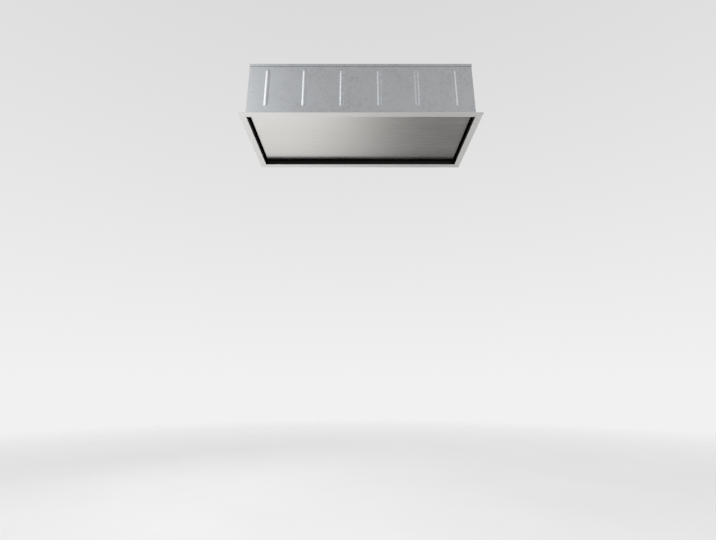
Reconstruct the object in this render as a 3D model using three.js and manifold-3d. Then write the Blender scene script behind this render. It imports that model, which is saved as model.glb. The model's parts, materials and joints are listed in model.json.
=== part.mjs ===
// Ceiling range hood with perimeter suction, in millimetres.
// +Z is up into the ceiling void, X runs along the hood's length, -Y faces the viewer.
// The origin is the centre of the visible frame, in the plane of its lower face.
// A steel frame sits flat against the ceiling. A brushed centre panel hangs recessed inside it
// and leaves a slot all round, through which the air is drawn. The panel swings down on two
// hinges. Above it lie three grease filters, the plenum with its blower, and the outlet spigot
// with a non-return damper.
import * as THREE from "three";
import { mergeVertices } from "three/addons/utils/BufferGeometryUtils.js";
import Module from "manifold-3d";

const wasm = await Module();
wasm.setup();

// ---------- driving dimensions ----------
const FRAME_LENGTH = 1200; // visible frame, along X
const FRAME_DEPTH = 500; // visible frame, along Y
const FRAME_BORDER = 32; // width of the visible frame
const FRAME_THICK = 2;
const SLOT_WIDTH = 11; // suction slot between frame opening and panel
const PANEL_RECESS = 30; // panel's visible face above the frame's
const PANEL_EDGE = 18; // height of the panel's folded edge
const PANEL_RETURN = 10; // inward return on top of that edge
const CASING_HEIGHT = 320; // top of the lid above the visible face
const SHEET = 1.2; // steel sheet of casing, collar, tray and panel
const SEAT = 0.2; // gap between faces that touch
const RUNNING = 0.3; // radial gap of pins and shafts in their bores

const SEAL_WIDTH = 10;
const SEAL_THICK = 2.4;
const SEAL_INSET = 3;

const WALL_FLANGE = 14; // outward fold at the foot of each wall
const CORNER_TAB = 16; // fold of a long wall round the corner
const LID_RIM = 16;

const TRAY_HEIGHT = 120; // underside of the filter tray
const TRAY_RIM = 14;

const FILTER_NAMES = ["left", "middle", "right"]; // from -X to +X
const FILTER_END = 52; // end filter in from the opening's end
const FILTER_SIDE = 68; // filters in from the opening's front and back
const FILTER_SPACING = 36; // between neighbouring filters
const FILTER_THICK = 11;
const FILTER_MEMBER = 14; // width of the filter's channel frame
const FILTER_SKIN = 1;
const FILTER_LAP = 18; // how far the tray overlaps a filter
const FILTER_GAP = 0.3; // filter to tray
const FILTER_WAVES = 20; // pleats of the mesh
const MESH_THICK = 1.2;
const HOOK_SPREAD = 200; // between a filter's two hooks
const HOOK_WIDTH = 24;
const HOOK_THICK = 1.5;
const HOOK_REACH = 16; // behind the filter
const LEDGE_GAP = 4; // filter frame to ledge tip
const LEDGE_WIDTH = 18;
const LEDGE_LIFT = 2; // ledge's top above the filter's foot
const HANDLE_LENGTH = 76;
const HANDLE_DROP = 17;
const HANDLE_RADIUS = 2.6;
const HANDLE_BEND = 7;
const HANDLE_FOOT = 5.5; // radius of the foot disc
const HANDLE_FOOT_THICK = 1.4;
const HANDLE_STEPS = 32;
const MAGNET_LENGTH = 40;
const MAGNET_DEPTH = 8;
const MAGNET_HEIGHT = 7;
const MAGNET_LIP = 6;
const MAGNET_LIP_THICK = 1.5;

const HINGE_INSET = 157; // hinge's middle in from the panel's end
const PIVOT_INSET = 10; // pivot in from the panel's back edge
const PIVOT_RISE = 9; // pivot above the panel's visible face
const PIN_RADIUS = 3;
const PIN_HEAD_RADIUS = 4.6;
const PIN_HEAD_THICK = 2;
const PIN_TAIL = 2; // pin beyond the last cheek
const LUG_WIDTH = 17;
const LUG_RADIUS = 6.4;
const LUG_FOOT_THICK = 1;
const LUG_FOOT_REACH = 17; // foot in front of the ear
const LUG_GAP = 0.5; // lug to cheek, each side
const CHEEK_THICK = 2;
const CHEEK_RADIUS = 5.5;
const CHEEK_RISE = 23; // pivot to the underside of the cheek's arm
const CHEEK_ARM = 28; // height of the arm
const BRACKET_PLATE_WIDTH = 52;
const BRACKET_PLATE_THICK = 2;
const BRACKET_PLATE_RISE = 6; // how far the plate stands above the arm
const NOTCH_GAP = 3; // room beside the hinge in the panel's edge

const LATCH_END_INSET = 157; // latch axis in from the panel's end
const LATCH_INSET = 20; // and in from its front edge
const LATCH_BODY_LENGTH = 26;
const LATCH_BODY_DEPTH = 20;
const LATCH_BODY_HEIGHT = 36;
const LATCH_TRAVEL = 4;
const LATCH_HEADROOM = 4;
const LATCH_ARM_LENGTH = 16;
const LATCH_ARM_RISE = 10; // from the body's foot to the arm's
const LATCH_PLATE_DROP = 4; // how far the plate hangs below the arm
const PLUNGER_RADIUS = 5;
const PLUNGER_TIP_RADIUS = 3;
const PLUNGER_TIP_HEIGHT = 3;
const PLUNGER_LENGTH = 26;
const PLUNGER_SHOWS = 6; // how far the plunger stands out of its body
const STRIKE_HEIGHT = 19; // above the panel's floor
const STRIKE_LENGTH = 36;
const STRIKE_FOOT = 10;
const STRIKE_DEPTH = 18;
const STRIKE_THICK = 1.5;

const RIB_INSET = 119; // rib's middle in from the panel's front or back edge
const RIB_END_INSET = 57; // rib's end in from the panel's end
const RIB_HEIGHT = 11;
const RIB_TOP = 22;
const RIB_FOOT = 12;
const RIB_THICK = 1;

const IMPELLER_HALF_WIDTH = 55;
const BLADE_COUNT = 24;
const BLADE_DEPTH = 10;
const BLADE_THICK = 1.2;
const BLADE_SINK = 0.03; // share of its depth that a blade stops short of the rings' edges
const BLADE_SWEEP = 0.16; // radians from root to tip
const IMPELLER_RING = 3;
const HUB_RADIUS = 12;
const HUB_LENGTH = 20;
const SHAFT_RADIUS = 4;
const SHAFT_LENGTH = 52;
const SHAFT_OUT = 13; // beyond the hub's centre
const SCROLL_HALF_WIDTH = 65; // inside
const SCROLL_WALL = 2;
const SCROLL_CUTOFF = 7; // impeller to tongue
const SCROLL_GROWTH = 35;
const SCROLL_CLEARANCE = 3; // above the tray
const SCROLL_HEADROOM = 1.64; // top of the scroll's curve to the rim of its outlet
const TONGUE_ANGLE = THREE.MathUtils.degToRad(50);
const SCROLL_STEPS = 28;
const SCROLL_FLANGE = 10;
const THROAT_GAP = 3; // throat inside the blades' roots
const THROAT_WALL = 2;
const THROAT_REACH = 6; // into the scroll
const INLET_FLANGE = 9;
const INLET_FLANGE_THICK = 1.6;
const INLET_LIP = 2; // bevel of the mouth
const MOTOR_AIR_GAP = 19; // round the motor, inside the throat
const MOTOR_FRONT = 16; // from the impeller's centre disc
const MOTOR_LENGTH = 64;
const MOTOR_CAP_STEP = 12; // cap's radius below the motor's
const MOTOR_CAP_LENGTH = 6;
const NOSE_GAP = 0.6; // motor to the hub and to the shaft's end
const SPIDER_ARMS = 3;
const SPIDER_ARM_WIDTH = 11;
const SPIDER_THICK = 2.2;
const SPIDER_HUB_WALL = 5;
const BLOWER_PLATE_LENGTH = 200;
const BLOWER_PLATE_DEPTH = 178;
const BLOWER_PLATE_THICK = 2;
const GASKET_THICK = 3;

const SPIGOT_RADIUS = 74.5; // outside, for 150 mm duct
const SPIGOT_WALL = 1.2;
const SPIGOT_HEIGHT = 56;
const SPIGOT_FLANGE = 17;
const SPIGOT_BEAD = 1.6;
const SPIGOT_BEAD_DROP = 9;
const SPINDLE_RADIUS = 2;
const SPINDLE_RISE = 18; // above the lid
const SPINDLE_TAIL = 2; // beyond the spigot's wall
const FLAP_GAP = 2; // flap to spigot wall
const FLAP_THICK = 1.4;
const FLAP_SPLIT = 5; // centre line to a flap's straight edge
const BARREL_RADIUS = 3.9;
const BARREL_LENGTH = 30;
const BARREL_GAP = 0.8;
const BARRELS_EACH = 2;
const WEB_LAP = 2; // barrel web on its flap

const BOX_FROM_END = 298; // box's middle in from the opening's left end
const BOX_FROM_FRONT = 148; // and in from its front
const BOX_LENGTH = 150;
const BOX_DEPTH = 96;
const BOX_HEIGHT = 40;
const BOX_WALL = 2;
const BOX_LID_LIP = 5;
const BOARD_END = 9; // board's end to the box's inner wall
const BOARD_SIDE = 8; // board's long edge to the box's inner wall
const BOARD_THICK = 1.6;
const BOARD_RISE = 8; // above the box's floor
const POST_RADIUS = 4;
const POST_INSET = 6;
const POST_SIDES = 12;
const BOARD_GRID = 2;
// Transformer, two relays, terminal block and fuse holder, in steps of the grid and from the
// board's centre.
const BOARD_BLOCKS = [
  { x: -17, y: 6, length: 17, depth: 15, height: 10 },
  { x: 3, y: 9, length: 8, depth: 9, height: 7 },
  { x: 14, y: 9, length: 8, depth: 9, height: 7 },
  { x: 5, y: -12, length: 30, depth: 6, height: 6 },
  { x: 25, y: -12, length: 4, depth: 10, height: 5 },
];
const CAPACITOR = { x: -22, y: -10, radius: 3, height: 9 };
const LEAD_RADIUS = 3.5;
const LEAD_HOLE_GAP = 1;
const LEAD_FROM_BOX_X = 44; // lead hole from the box's centre
const LEAD_FROM_BOX_Y = -4;
const LEAD_END_GAP = 3; // lead's end to the board
const LEAD_STEPS = 30;
const LEAD_BEND = 16; // the lead's route goes in shares of this
const GLAND_RADIUS = 9;
const GLAND_NUT_RADIUS = 12;
const GLAND_NUT_THICK = 7;
const GLAND_DOME = 9; // dome beyond the nut
const GLAND_BORE = 4.5;
const GLAND_THREAD = 7; // thread inside the box

const HANGER_FROM_END = 78; // upright in from the opening's end
const HANGER_FROM_SIDE = 53; // hanger's middle in from its front or back
const HANGER_WIDTH = 40;
const HANGER_THICK = 2.5;
const HANGER_FOOT = 34;
const HANGER_RISE = 28;
const HANGER_TONGUE = 40;
const ROD_SLOT_WIDTH = 9;
const ROD_SLOT_DEPTH = 26;

const ROUND_SIDES = 40; // facets of large round faces
const SMALL_SIDES = 20; // facets of pins and bores
const TUBE_SIDES = 8; // facets of a bent bar or lead

// ---------- sizes worked out from them ----------
const openHalfX = FRAME_LENGTH / 2 - FRAME_BORDER;
const openHalfY = FRAME_DEPTH / 2 - FRAME_BORDER;
const panelHalfX = openHalfX - SLOT_WIDTH;
const panelHalfY = openHalfY - SLOT_WIDTH;
const panelFloor = PANEL_RECESS + SHEET; // inside face of the panel's floor
const panelTop = PANEL_RECESS + PANEL_EDGE;
const wallInX = openHalfX + SHEET + SEAT;
const wallInY = openHalfY + SHEET + SEAT;
const wallOutX = wallInX + SHEET;
const wallOutY = wallInY + SHEET;
const cornerOutX = wallOutX + SEAT + SHEET; // outside of the corner tabs
const wallFoot = FRAME_THICK + SEAT;
const lidUnder = CASING_HEIGHT - SHEET;
const wallTop = lidUnder - SEAT;
const trayTop = TRAY_HEIGHT + SHEET;
const filterTop = TRAY_HEIGHT - FILTER_GAP;
const filterFoot = filterTop - FILTER_THICK;
const filterLast = FILTER_NAMES.length - 1;
const filterRow = 2 * (openHalfX - FILTER_END); // length of the row of filters
const filterLength = (filterRow - filterLast * FILTER_SPACING) / FILTER_NAMES.length;
const filterDepth = 2 * (openHalfY - FILTER_SIDE);
const filterPitch = filterLength + FILTER_SPACING;
const ledgeTip = filterDepth / 2 + LEDGE_GAP;
const ledgeTop = filterFoot + LEDGE_LIFT;
const pivotY = panelHalfY - PIVOT_INSET;
const pivotZ = PANEL_RECESS + PIVOT_RISE;
const hingeX = panelHalfX - HINGE_INSET;
const latchX = panelHalfX - LATCH_END_INSET;
const ribHalfLength = panelHalfX - RIB_END_INSET;
const ribY = panelHalfY - RIB_INSET;
const cheekOffset = LUG_WIDTH / 2 + LUG_GAP; // hinge centre to a cheek's inner face
const hingeHalfWidth = cheekOffset + CHEEK_THICK;
const latchY = -(panelHalfY - LATCH_INSET);
const strikeTop = panelFloor + STRIKE_HEIGHT;
const plungerFoot = strikeTop + RUNNING;
const latchFoot = plungerFoot + PLUNGER_SHOWS;
const latchTop = latchFoot + LATCH_BODY_HEIGHT;
const gasketFoot = lidUnder - SEAT - GASKET_THICK;
const blowerPlateFoot = gasketFoot - SEAT - BLOWER_PLATE_THICK;
const scrollFoot = trayTop + SCROLL_CLEARANCE;
const scrollHeight = blowerPlateFoot - SEAT - scrollFoot;
const growthBelow = SCROLL_GROWTH * scrollShare(1.5 * Math.PI);
const growthAbove = SCROLL_GROWTH * scrollShare(0.5 * Math.PI);
// The largest scroll between the tray and the lid sets the impeller.
const cutoffRadius =
  (scrollHeight - SCROLL_HEADROOM - growthBelow - growthAbove) / 2 - SCROLL_WALL;
const impellerRadius = cutoffRadius - SCROLL_CUTOFF;
const bladeRoot = impellerRadius - BLADE_DEPTH;
const fullRadius = cutoffRadius + SCROLL_GROWTH;
const tongueY = cutoffRadius * Math.cos(TONGUE_ANGLE);
const blowerZ = scrollFoot + cutoffRadius + growthBelow + SCROLL_WALL;
const blowerY = -(tongueY + fullRadius) / 2; // centres the outlet under the spigot
const outletTop = scrollFoot + scrollHeight - blowerZ; // above the blower's axis
const throatRadius = bladeRoot - THROAT_GAP;
const throatOut = throatRadius + THROAT_WALL;
const motorRadius = throatRadius - MOTOR_AIR_GAP;
const scrollSide = SCROLL_HALF_WIDTH + SCROLL_WALL;
const inletFace = scrollSide + SEAT + INLET_FLANGE_THICK; // outside of an inlet flange
const spigotBore = SPIGOT_RADIUS - SPIGOT_WALL;
const motorRear = MOTOR_FRONT + MOTOR_LENGTH;
const boxFoot = CASING_HEIGHT + SEAT;
const boardFoot = boxFoot + BOX_WALL + BOARD_RISE;
const boardLength = BOX_LENGTH - 2 * (BOX_WALL + BOARD_END);
const boardDepth = BOX_DEPTH - 2 * (BOX_WALL + BOARD_SIDE);
const glandZ = boxFoot + BOX_HEIGHT / 2;
const boxX = -(openHalfX - BOX_FROM_END);
const boxY = -(openHalfY - BOX_FROM_FRONT);
const leadX = boxX + LEAD_FROM_BOX_X;
const leadY = boxY + LEAD_FROM_BOX_Y;
const hangerX = openHalfX - HANGER_FROM_END;
const hangerY = openHalfY - HANGER_FROM_SIDE;

// ---------- materials ----------
const finish = (color, roughness, metalness) =>
  new THREE.MeshStandardMaterial({ color, roughness, metalness });
const brushedSteel = finish(0xb8b6b1, 0.32, 1);
const galvanised = finish(0xa9adb0, 0.5, 1);
const blackPaint = finish(0x0d0d0e, 0.55, 0.2);
const zincSteel = finish(0xb4b4ae, 0.4, 1);
const filterAluminium = finish(0xc4c6c8, 0.4, 1);
const meshAluminium = finish(0xa4a7aa, 0.55, 1);
const blackPlastic = finish(0x18191b, 0.6, 0);
const greyPlastic = finish(0x6f7376, 0.6, 0);
const greenBoard = finish(0x1d5a35, 0.5, 0);
const rubber = finish(0x141414, 0.85, 0);
const castAluminium = finish(0x9c9fa2, 0.5, 1);

// ---------- solids ----------
// A closed three.js geometry as a solid that can be cut and joined.
function solidOf(geometry) {
  const loose = geometry.index ? geometry.toNonIndexed() : geometry;
  const bare = new THREE.BufferGeometry();
  bare.setAttribute("position", loose.getAttribute("position"));
  const merged = mergeVertices(bare, 1e-4);
  return new wasm.Manifold(
    new wasm.Mesh({
      numProp: 3,
      vertProperties: merged.attributes.position.array,
      triVerts: new Uint32Array(merged.index.array),
    }),
  );
}

function geometryOf(solid) {
  const mesh = solid.getMesh();
  const geometry = new THREE.BufferGeometry();
  const corners = new Float32Array(mesh.vertProperties);
  geometry.setAttribute("position", new THREE.BufferAttribute(corners, 3));
  geometry.setIndex(new THREE.BufferAttribute(new Uint32Array(mesh.triVerts), 1));
  const flat = geometry.toNonIndexed();
  flat.computeVertexNormals();
  return flat;
}

function meshOf(name, solid, material) {
  const mesh = new THREE.Mesh(geometryOf(solid), material);
  mesh.name = name;
  return mesh;
}

const joined = (solids) => solids.reduce((whole, solid) => whole.add(solid));
const cut = (solid, ...tools) => tools.reduce((left, tool) => left.subtract(tool), solid);

function block(x0, x1, y0, y1, z0, z1) {
  const box = new THREE.BoxGeometry(x1 - x0, y1 - y0, z1 - z0);
  box.translate((x0 + x1) / 2, (y0 + y1) / 2, (z0 + z1) / 2);
  return solidOf(box);
}

// A block centred on x and y.
const slab = (length, depth, z0, z1, x = 0, y = 0) =>
  block(x - length / 2, x + length / 2, y - depth / 2, y + depth / 2, z0, z1);

// A rectangular ring: outer half sizes, inner half sizes and a height range.
const ring = (outX, outY, inX, inY, z0, z1) =>
  slab(2 * outX, 2 * outY, z0, z1).subtract(slab(2 * inX, 2 * inY, z0 - 1, z1 + 1));

function extrude(shape, length, basis) {
  const options = { depth: length, bevelEnabled: false, curveSegments: SMALL_SIDES / 2 };
  const geometry = new THREE.ExtrudeGeometry(shape, options);
  geometry.applyMatrix4(basis);
  return geometry;
}

// The shape's axes become Y and Z, and it runs from x0 to x1.
function extrudeX(shape, x0, x1) {
  const basis = new THREE.Matrix4().makeBasis(
    new THREE.Vector3(0, 1, 0),
    new THREE.Vector3(0, 0, 1),
    new THREE.Vector3(1, 0, 0),
  );
  return solidOf(extrude(shape, x1 - x0, basis).translate(x0, 0, 0));
}

// The shape's axes become X and Z, and it runs from y0 to y1.
function extrudeY(shape, y0, y1) {
  const basis = new THREE.Matrix4().makeBasis(
    new THREE.Vector3(1, 0, 0),
    new THREE.Vector3(0, 0, 1),
    new THREE.Vector3(0, -1, 0),
  );
  return solidOf(extrude(shape, y1 - y0, basis).translate(0, y1, 0));
}

const extrudeZ = (shape, z0, z1) =>
  solidOf(extrude(shape, z1 - z0, new THREE.Matrix4()).translate(0, 0, z0));

function outline(points) {
  return new THREE.Shape(points.map(([u, v]) => new THREE.Vector2(u, v)));
}

function rodX(radius, x0, x1, y = 0, z = 0, sides = SMALL_SIDES) {
  const rod = new THREE.CylinderGeometry(radius, radius, x1 - x0, sides);
  rod.rotateZ(-Math.PI / 2);
  rod.translate((x0 + x1) / 2, y, z);
  return solidOf(rod);
}

function rodZ(radius, z0, z1, x = 0, y = 0, sides = SMALL_SIDES, topRadius = radius) {
  const rod = new THREE.CylinderGeometry(topRadius, radius, z1 - z0, sides);
  rod.rotateX(Math.PI / 2);
  rod.translate(x, y, (z0 + z1) / 2);
  return solidOf(rod);
}

// A closed profile of [radius, height] pairs turned about Z.
function turnedZ(profile, sides = ROUND_SIDES) {
  const points = [...profile, profile[0]].map(([r, h]) => new THREE.Vector2(r, h));
  const lathe = new THREE.LatheGeometry(points, sides);
  lathe.rotateX(Math.PI / 2);
  return solidOf(lathe);
}

// The same about X, with heights along +X.
const turnedX = (profile, sides = ROUND_SIDES) => turnedZ(profile, sides).rotate([0, 90, 0]);

// ---------- frame and casing ----------
function frameAndSeal() {
  const group = new THREE.Group();
  const frame = ring(
    FRAME_LENGTH / 2,
    FRAME_DEPTH / 2,
    openHalfX,
    openHalfY,
    0,
    FRAME_THICK,
  );
  const sealOutX = FRAME_LENGTH / 2 - SEAL_INSET;
  const sealOutY = FRAME_DEPTH / 2 - SEAL_INSET;
  const seal = ring(
    sealOutX,
    sealOutY,
    sealOutX - SEAL_WIDTH,
    sealOutY - SEAL_WIDTH,
    FRAME_THICK + SEAT,
    FRAME_THICK + SEAT + SEAL_THICK,
  );
  group.add(meshOf("ceiling_frame", frame, brushedSteel));
  group.add(meshOf("frame_seal", seal, rubber));
  return group;
}

// A long wall: side is -1 for the front and 1 for the back.
function longWall(side) {
  const across = (a, b) => (side < 0 ? [-b, -a] : [a, b]);
  const sheet = block(-cornerOutX, cornerOutX, ...across(wallInY, wallOutY), wallFoot, wallTop);
  const flangeReach = across(wallInY, wallOutY + WALL_FLANGE);
  const flange = block(-wallInX, wallInX, ...flangeReach, wallFoot, wallFoot + SHEET);
  const tabReach = across(wallOutY - CORNER_TAB, wallOutY);
  const tabFoot = wallFoot + SHEET + SEAT;
  const tabs = [-1, 1].map((end) => {
    const reach = [end * (cornerOutX - SHEET), end * cornerOutX].sort((a, b) => a - b);
    return block(...reach, ...tabReach, tabFoot, wallTop);
  });
  return joined([sheet, flange, ...tabs]);
}

// An end wall: side is -1 for the left and 1 for the right.
function endWall(side) {
  const along = (a, b) => (side < 0 ? [-b, -a] : [a, b]);
  const halfDepth = wallInY - SEAT;
  const sheet = block(...along(wallInX, wallOutX), -halfDepth, halfDepth, wallFoot, wallTop);
  const reach = along(wallInX, wallOutX + WALL_FLANGE);
  return sheet.add(block(...reach, -halfDepth, halfDepth, wallFoot, wallFoot + SHEET));
}

function casingLid() {
  const outX = cornerOutX + SEAT + SHEET;
  const outY = wallOutY + SEAT + SHEET;
  const rimFoot = CASING_HEIGHT - LID_RIM;
  const shell = slab(2 * outX, 2 * outY, rimFoot, CASING_HEIGHT).subtract(
    slab(2 * (outX - SHEET), 2 * (outY - SHEET), rimFoot - 1, lidUnder),
  );
  return cut(
    shell,
    rodZ(spigotBore, lidUnder - 1, CASING_HEIGHT + 1, 0, 0, ROUND_SIDES),
    rodZ(LEAD_RADIUS + LEAD_HOLE_GAP, lidUnder - 1, CASING_HEIGHT + 1, leadX, leadY),
  );
}

function casing() {
  const group = new THREE.Group();
  group.add(meshOf("casing_front_wall", longWall(-1), galvanised));
  group.add(meshOf("casing_back_wall", longWall(1), galvanised));
  group.add(meshOf("casing_left_wall", endWall(-1), galvanised));
  group.add(meshOf("casing_right_wall", endWall(1), galvanised));
  group.add(meshOf("casing_lid", casingLid(), galvanised));
  // The black liner that the slot opens into; the filter tray stands on its top edge.
  const collar = ring(
    wallInX - SEAT,
    wallInY - SEAT,
    openHalfX,
    openHalfY,
    wallFoot,
    TRAY_HEIGHT - SEAT,
  );
  group.add(meshOf("air_collar", collar, blackPaint));
  return group;
}

// ---------- centre panel ----------
// A top-hat section: height, inner width, width of each foot and thickness.
function hatProfile(height, top, foot, thick) {
  const half = top / 2;
  return outline([
    [-half - foot, 0],
    [-half, 0],
    [-half, height - thick],
    [half, height - thick],
    [half, 0],
    [half + foot, 0],
    [half + foot, thick],
    [half + thick, thick],
    [half + thick, height],
    [-half - thick, height],
    [-half - thick, thick],
    [-half - foot, thick],
  ]);
}

function centrePanel() {
  const tray = slab(2 * panelHalfX, 2 * panelHalfY, PANEL_RECESS, panelTop);
  const hollow = slab(
    2 * (panelHalfX - SHEET),
    2 * (panelHalfY - SHEET),
    panelFloor,
    panelTop - SHEET,
  );
  const mouth = slab(
    2 * (panelHalfX - PANEL_RETURN),
    2 * (panelHalfY - PANEL_RETURN),
    panelFloor,
    panelTop + 1,
  );
  // The back edge is open at each hinge, where the cheeks stand when the panel hangs down.
  const notches = [-1, 1].map((side) => {
    const x = side * hingeX;
    const half = hingeHalfWidth + NOTCH_GAP;
    const back = [panelHalfY - PANEL_RETURN - 1, panelHalfY + 1];
    return block(x - half, x + half, ...back, panelFloor, panelTop + 1);
  });
  return cut(tray, hollow, mouth, ...notches);
}

function panelRib(y) {
  const profile = hatProfile(RIB_HEIGHT, RIB_TOP, RIB_FOOT, RIB_THICK);
  const rib = extrudeX(profile, -ribHalfLength, ribHalfLength);
  return rib.translate([0, y, panelFloor + SEAT]);
}

// An ear welded to the panel's floor, with the pin's running bore. Its origin is on the pivot.
function hingeLug() {
  const floor = -(pivotZ - panelFloor - SEAT);
  const half = LUG_WIDTH / 2;
  const shape = new THREE.Shape();
  shape.moveTo(-LUG_RADIUS, floor);
  shape.lineTo(LUG_RADIUS, floor);
  shape.lineTo(LUG_RADIUS, 0);
  shape.absarc(0, 0, LUG_RADIUS, 0, Math.PI, false);
  const ear = extrudeX(shape, -half, half);
  const front = -LUG_RADIUS - LUG_FOOT_REACH;
  const foot = block(-half, half, front, LUG_RADIUS, floor, floor + LUG_FOOT_THICK);
  return ear.add(foot).subtract(rodX(PIN_RADIUS + RUNNING, -LUG_WIDTH, LUG_WIDTH));
}

// The bridge on the panel that a latch plunger presses on.
function strikePlate() {
  const top = STRIKE_LENGTH - 2 * STRIKE_FOOT;
  const bridge = extrudeY(
    hatProfile(STRIKE_HEIGHT - SEAT, top, STRIKE_FOOT, STRIKE_THICK),
    -STRIKE_DEPTH / 2,
    STRIKE_DEPTH / 2,
  );
  return bridge.translate([0, 0, panelFloor + SEAT]);
}

const SIDE_NAMES = [
  ["left", -1],
  ["right", 1],
];

function panelGroup() {
  const group = new THREE.Group();
  group.add(meshOf("centre_panel", centrePanel(), brushedSteel));
  group.add(meshOf("panel_rib_front", panelRib(-ribY), zincSteel));
  group.add(meshOf("panel_rib_back", panelRib(ribY), zincSteel));
  for (const [name, side] of SIDE_NAMES) {
    const lug = meshOf(`hinge_lug_${name}`, hingeLug(), zincSteel);
    lug.position.set(side * hingeX, pivotY, pivotZ);
    const strike = meshOf(`strike_plate_${name}`, strikePlate(), zincSteel);
    strike.position.set(side * latchX, latchY, 0);
    group.add(lug, strike);
  }
  return group;
}

// ---------- hinges and latches on the collar ----------
// Two cheeks on a back plate, with the origin on the pivot.
function hingeBracket() {
  const plateBack = openHalfY - SEAT - pivotY;
  const plateFront = plateBack - BRACKET_PLATE_THICK;
  const armTop = CHEEK_RISE + CHEEK_ARM;
  const cheek = new THREE.Shape();
  cheek.moveTo(plateBack, CHEEK_RISE);
  cheek.lineTo(CHEEK_RADIUS, CHEEK_RISE);
  cheek.lineTo(CHEEK_RADIUS, 0);
  cheek.absarc(0, 0, CHEEK_RADIUS, 0, Math.PI, true);
  cheek.lineTo(-CHEEK_RADIUS, armTop - CHEEK_RADIUS);
  cheek.lineTo(CHEEK_RADIUS, armTop);
  cheek.lineTo(plateBack, armTop);
  const bore = PIN_RADIUS + SEAT;
  const cheeks = [-1, 1].map((side) => {
    const reach = [side * cheekOffset, side * hingeHalfWidth].sort((a, b) => a - b);
    return extrudeX(cheek, ...reach).subtract(rodX(bore, -2 * LUG_WIDTH, 2 * LUG_WIDTH));
  });
  const plate = block(
    -BRACKET_PLATE_WIDTH / 2,
    BRACKET_PLATE_WIDTH / 2,
    plateFront,
    plateBack,
    CHEEK_RISE,
    armTop + BRACKET_PLATE_RISE,
  );
  return joined([plate, ...cheeks]);
}

function hingePin() {
  const headFace = hingeHalfWidth + SEAT;
  const headEnd = headFace + PIN_HEAD_THICK;
  const shank = rodX(PIN_RADIUS, -hingeHalfWidth - PIN_TAIL, headEnd);
  return shank.add(rodX(PIN_HEAD_RADIUS, headFace, headEnd));
}

// The latch body on its foot plate. Its origin is on the plunger's axis, at z = 0.
function latchHousing() {
  const plateBack = -(openHalfY - SEAT) - latchY;
  const body = slab(LATCH_BODY_LENGTH, LATCH_BODY_DEPTH, latchFoot, latchTop);
  const armFoot = latchFoot + LATCH_ARM_RISE;
  const arm = slab(LATCH_ARM_LENGTH, -plateBack, armFoot, latchTop, 0, plateBack / 2);
  const plate = block(
    -BRACKET_PLATE_WIDTH / 2,
    BRACKET_PLATE_WIDTH / 2,
    plateBack,
    plateBack + BRACKET_PLATE_THICK,
    armFoot - LATCH_PLATE_DROP,
    latchTop + BRACKET_PLATE_RISE,
  );
  const boreTop = plungerFoot + PLUNGER_LENGTH + LATCH_TRAVEL + LATCH_HEADROOM;
  const bore = rodZ(PLUNGER_RADIUS + RUNNING, latchFoot - 1, boreTop);
  return joined([body, arm, plate]).subtract(bore);
}

function latchPlunger() {
  const shoulder = plungerFoot + PLUNGER_TIP_HEIGHT;
  const stem = rodZ(PLUNGER_RADIUS, shoulder, plungerFoot + PLUNGER_LENGTH);
  const tip = rodZ(
    PLUNGER_TIP_RADIUS,
    plungerFoot,
    shoulder,
    0,
    0,
    SMALL_SIDES,
    PLUNGER_RADIUS,
  );
  return stem.add(tip);
}

function hingesAndLatches() {
  const group = new THREE.Group();
  for (const [name, side] of SIDE_NAMES) {
    const hinge = new THREE.Group();
    hinge.position.set(side * hingeX, pivotY, pivotZ);
    hinge.add(meshOf(`hinge_bracket_${name}`, hingeBracket(), blackPaint));
    hinge.add(meshOf(`hinge_pin_${name}`, hingePin(), zincSteel));
    const latch = new THREE.Group();
    latch.position.set(side * latchX, latchY, 0);
    latch.add(meshOf(`latch_housing_${name}`, latchHousing(), blackPlastic));
    latch.add(meshOf(`latch_plunger_${name}`, latchPlunger(), greyPlastic));
    group.add(hinge, latch);
  }
  return group;
}

// ---------- filters ----------
const filterX = (index) => (index - filterLast / 2) * filterPitch;
const magnetY = -(filterDepth / 2 - FILTER_MEMBER / 2);

function filterTray() {
  const halfX = wallInX - SEAT;
  const halfY = wallInY - SEAT;
  const floor = slab(2 * halfX, 2 * halfY, TRAY_HEIGHT, trayTop);
  const rim = ring(
    halfX,
    halfY,
    halfX - SHEET,
    halfY - SHEET,
    TRAY_HEIGHT,
    TRAY_HEIGHT + TRAY_RIM,
  );
  const openings = FILTER_NAMES.flatMap((_, index) => [
    slab(
      filterLength - 2 * FILTER_LAP,
      filterDepth - 2 * FILTER_LAP,
      TRAY_HEIGHT - 1,
      trayTop + 1,
      filterX(index),
    ),
    slab(
      MAGNET_LENGTH + 2 * SEAT,
      MAGNET_DEPTH + 2 * SEAT,
      TRAY_HEIGHT - 1,
      trayTop + 1,
      filterX(index),
      magnetY,
    ),
  ]);
  return cut(floor.add(rim), ...openings);
}

// The rail under the tray that the filters' hooks rest on.
function filterLedge() {
  const half = filterRow / 2;
  const legIn = ledgeTip + LEDGE_WIDTH;
  const shelf = block(-half, half, ledgeTip, legIn, ledgeTop - SHEET, ledgeTop);
  const leg = block(-half, half, legIn - SHEET, legIn, ledgeTop - SHEET, TRAY_HEIGHT - SEAT);
  return shelf.add(leg);
}

function filterMagnet() {
  const core = slab(MAGNET_LENGTH, MAGNET_DEPTH, TRAY_HEIGHT, TRAY_HEIGHT + MAGNET_HEIGHT);
  const lip = slab(
    MAGNET_LENGTH + 2 * MAGNET_LIP,
    MAGNET_DEPTH + MAGNET_LIP,
    trayTop + SEAT,
    trayTop + SEAT + MAGNET_LIP_THICK,
  );
  return core.add(lip);
}

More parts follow.
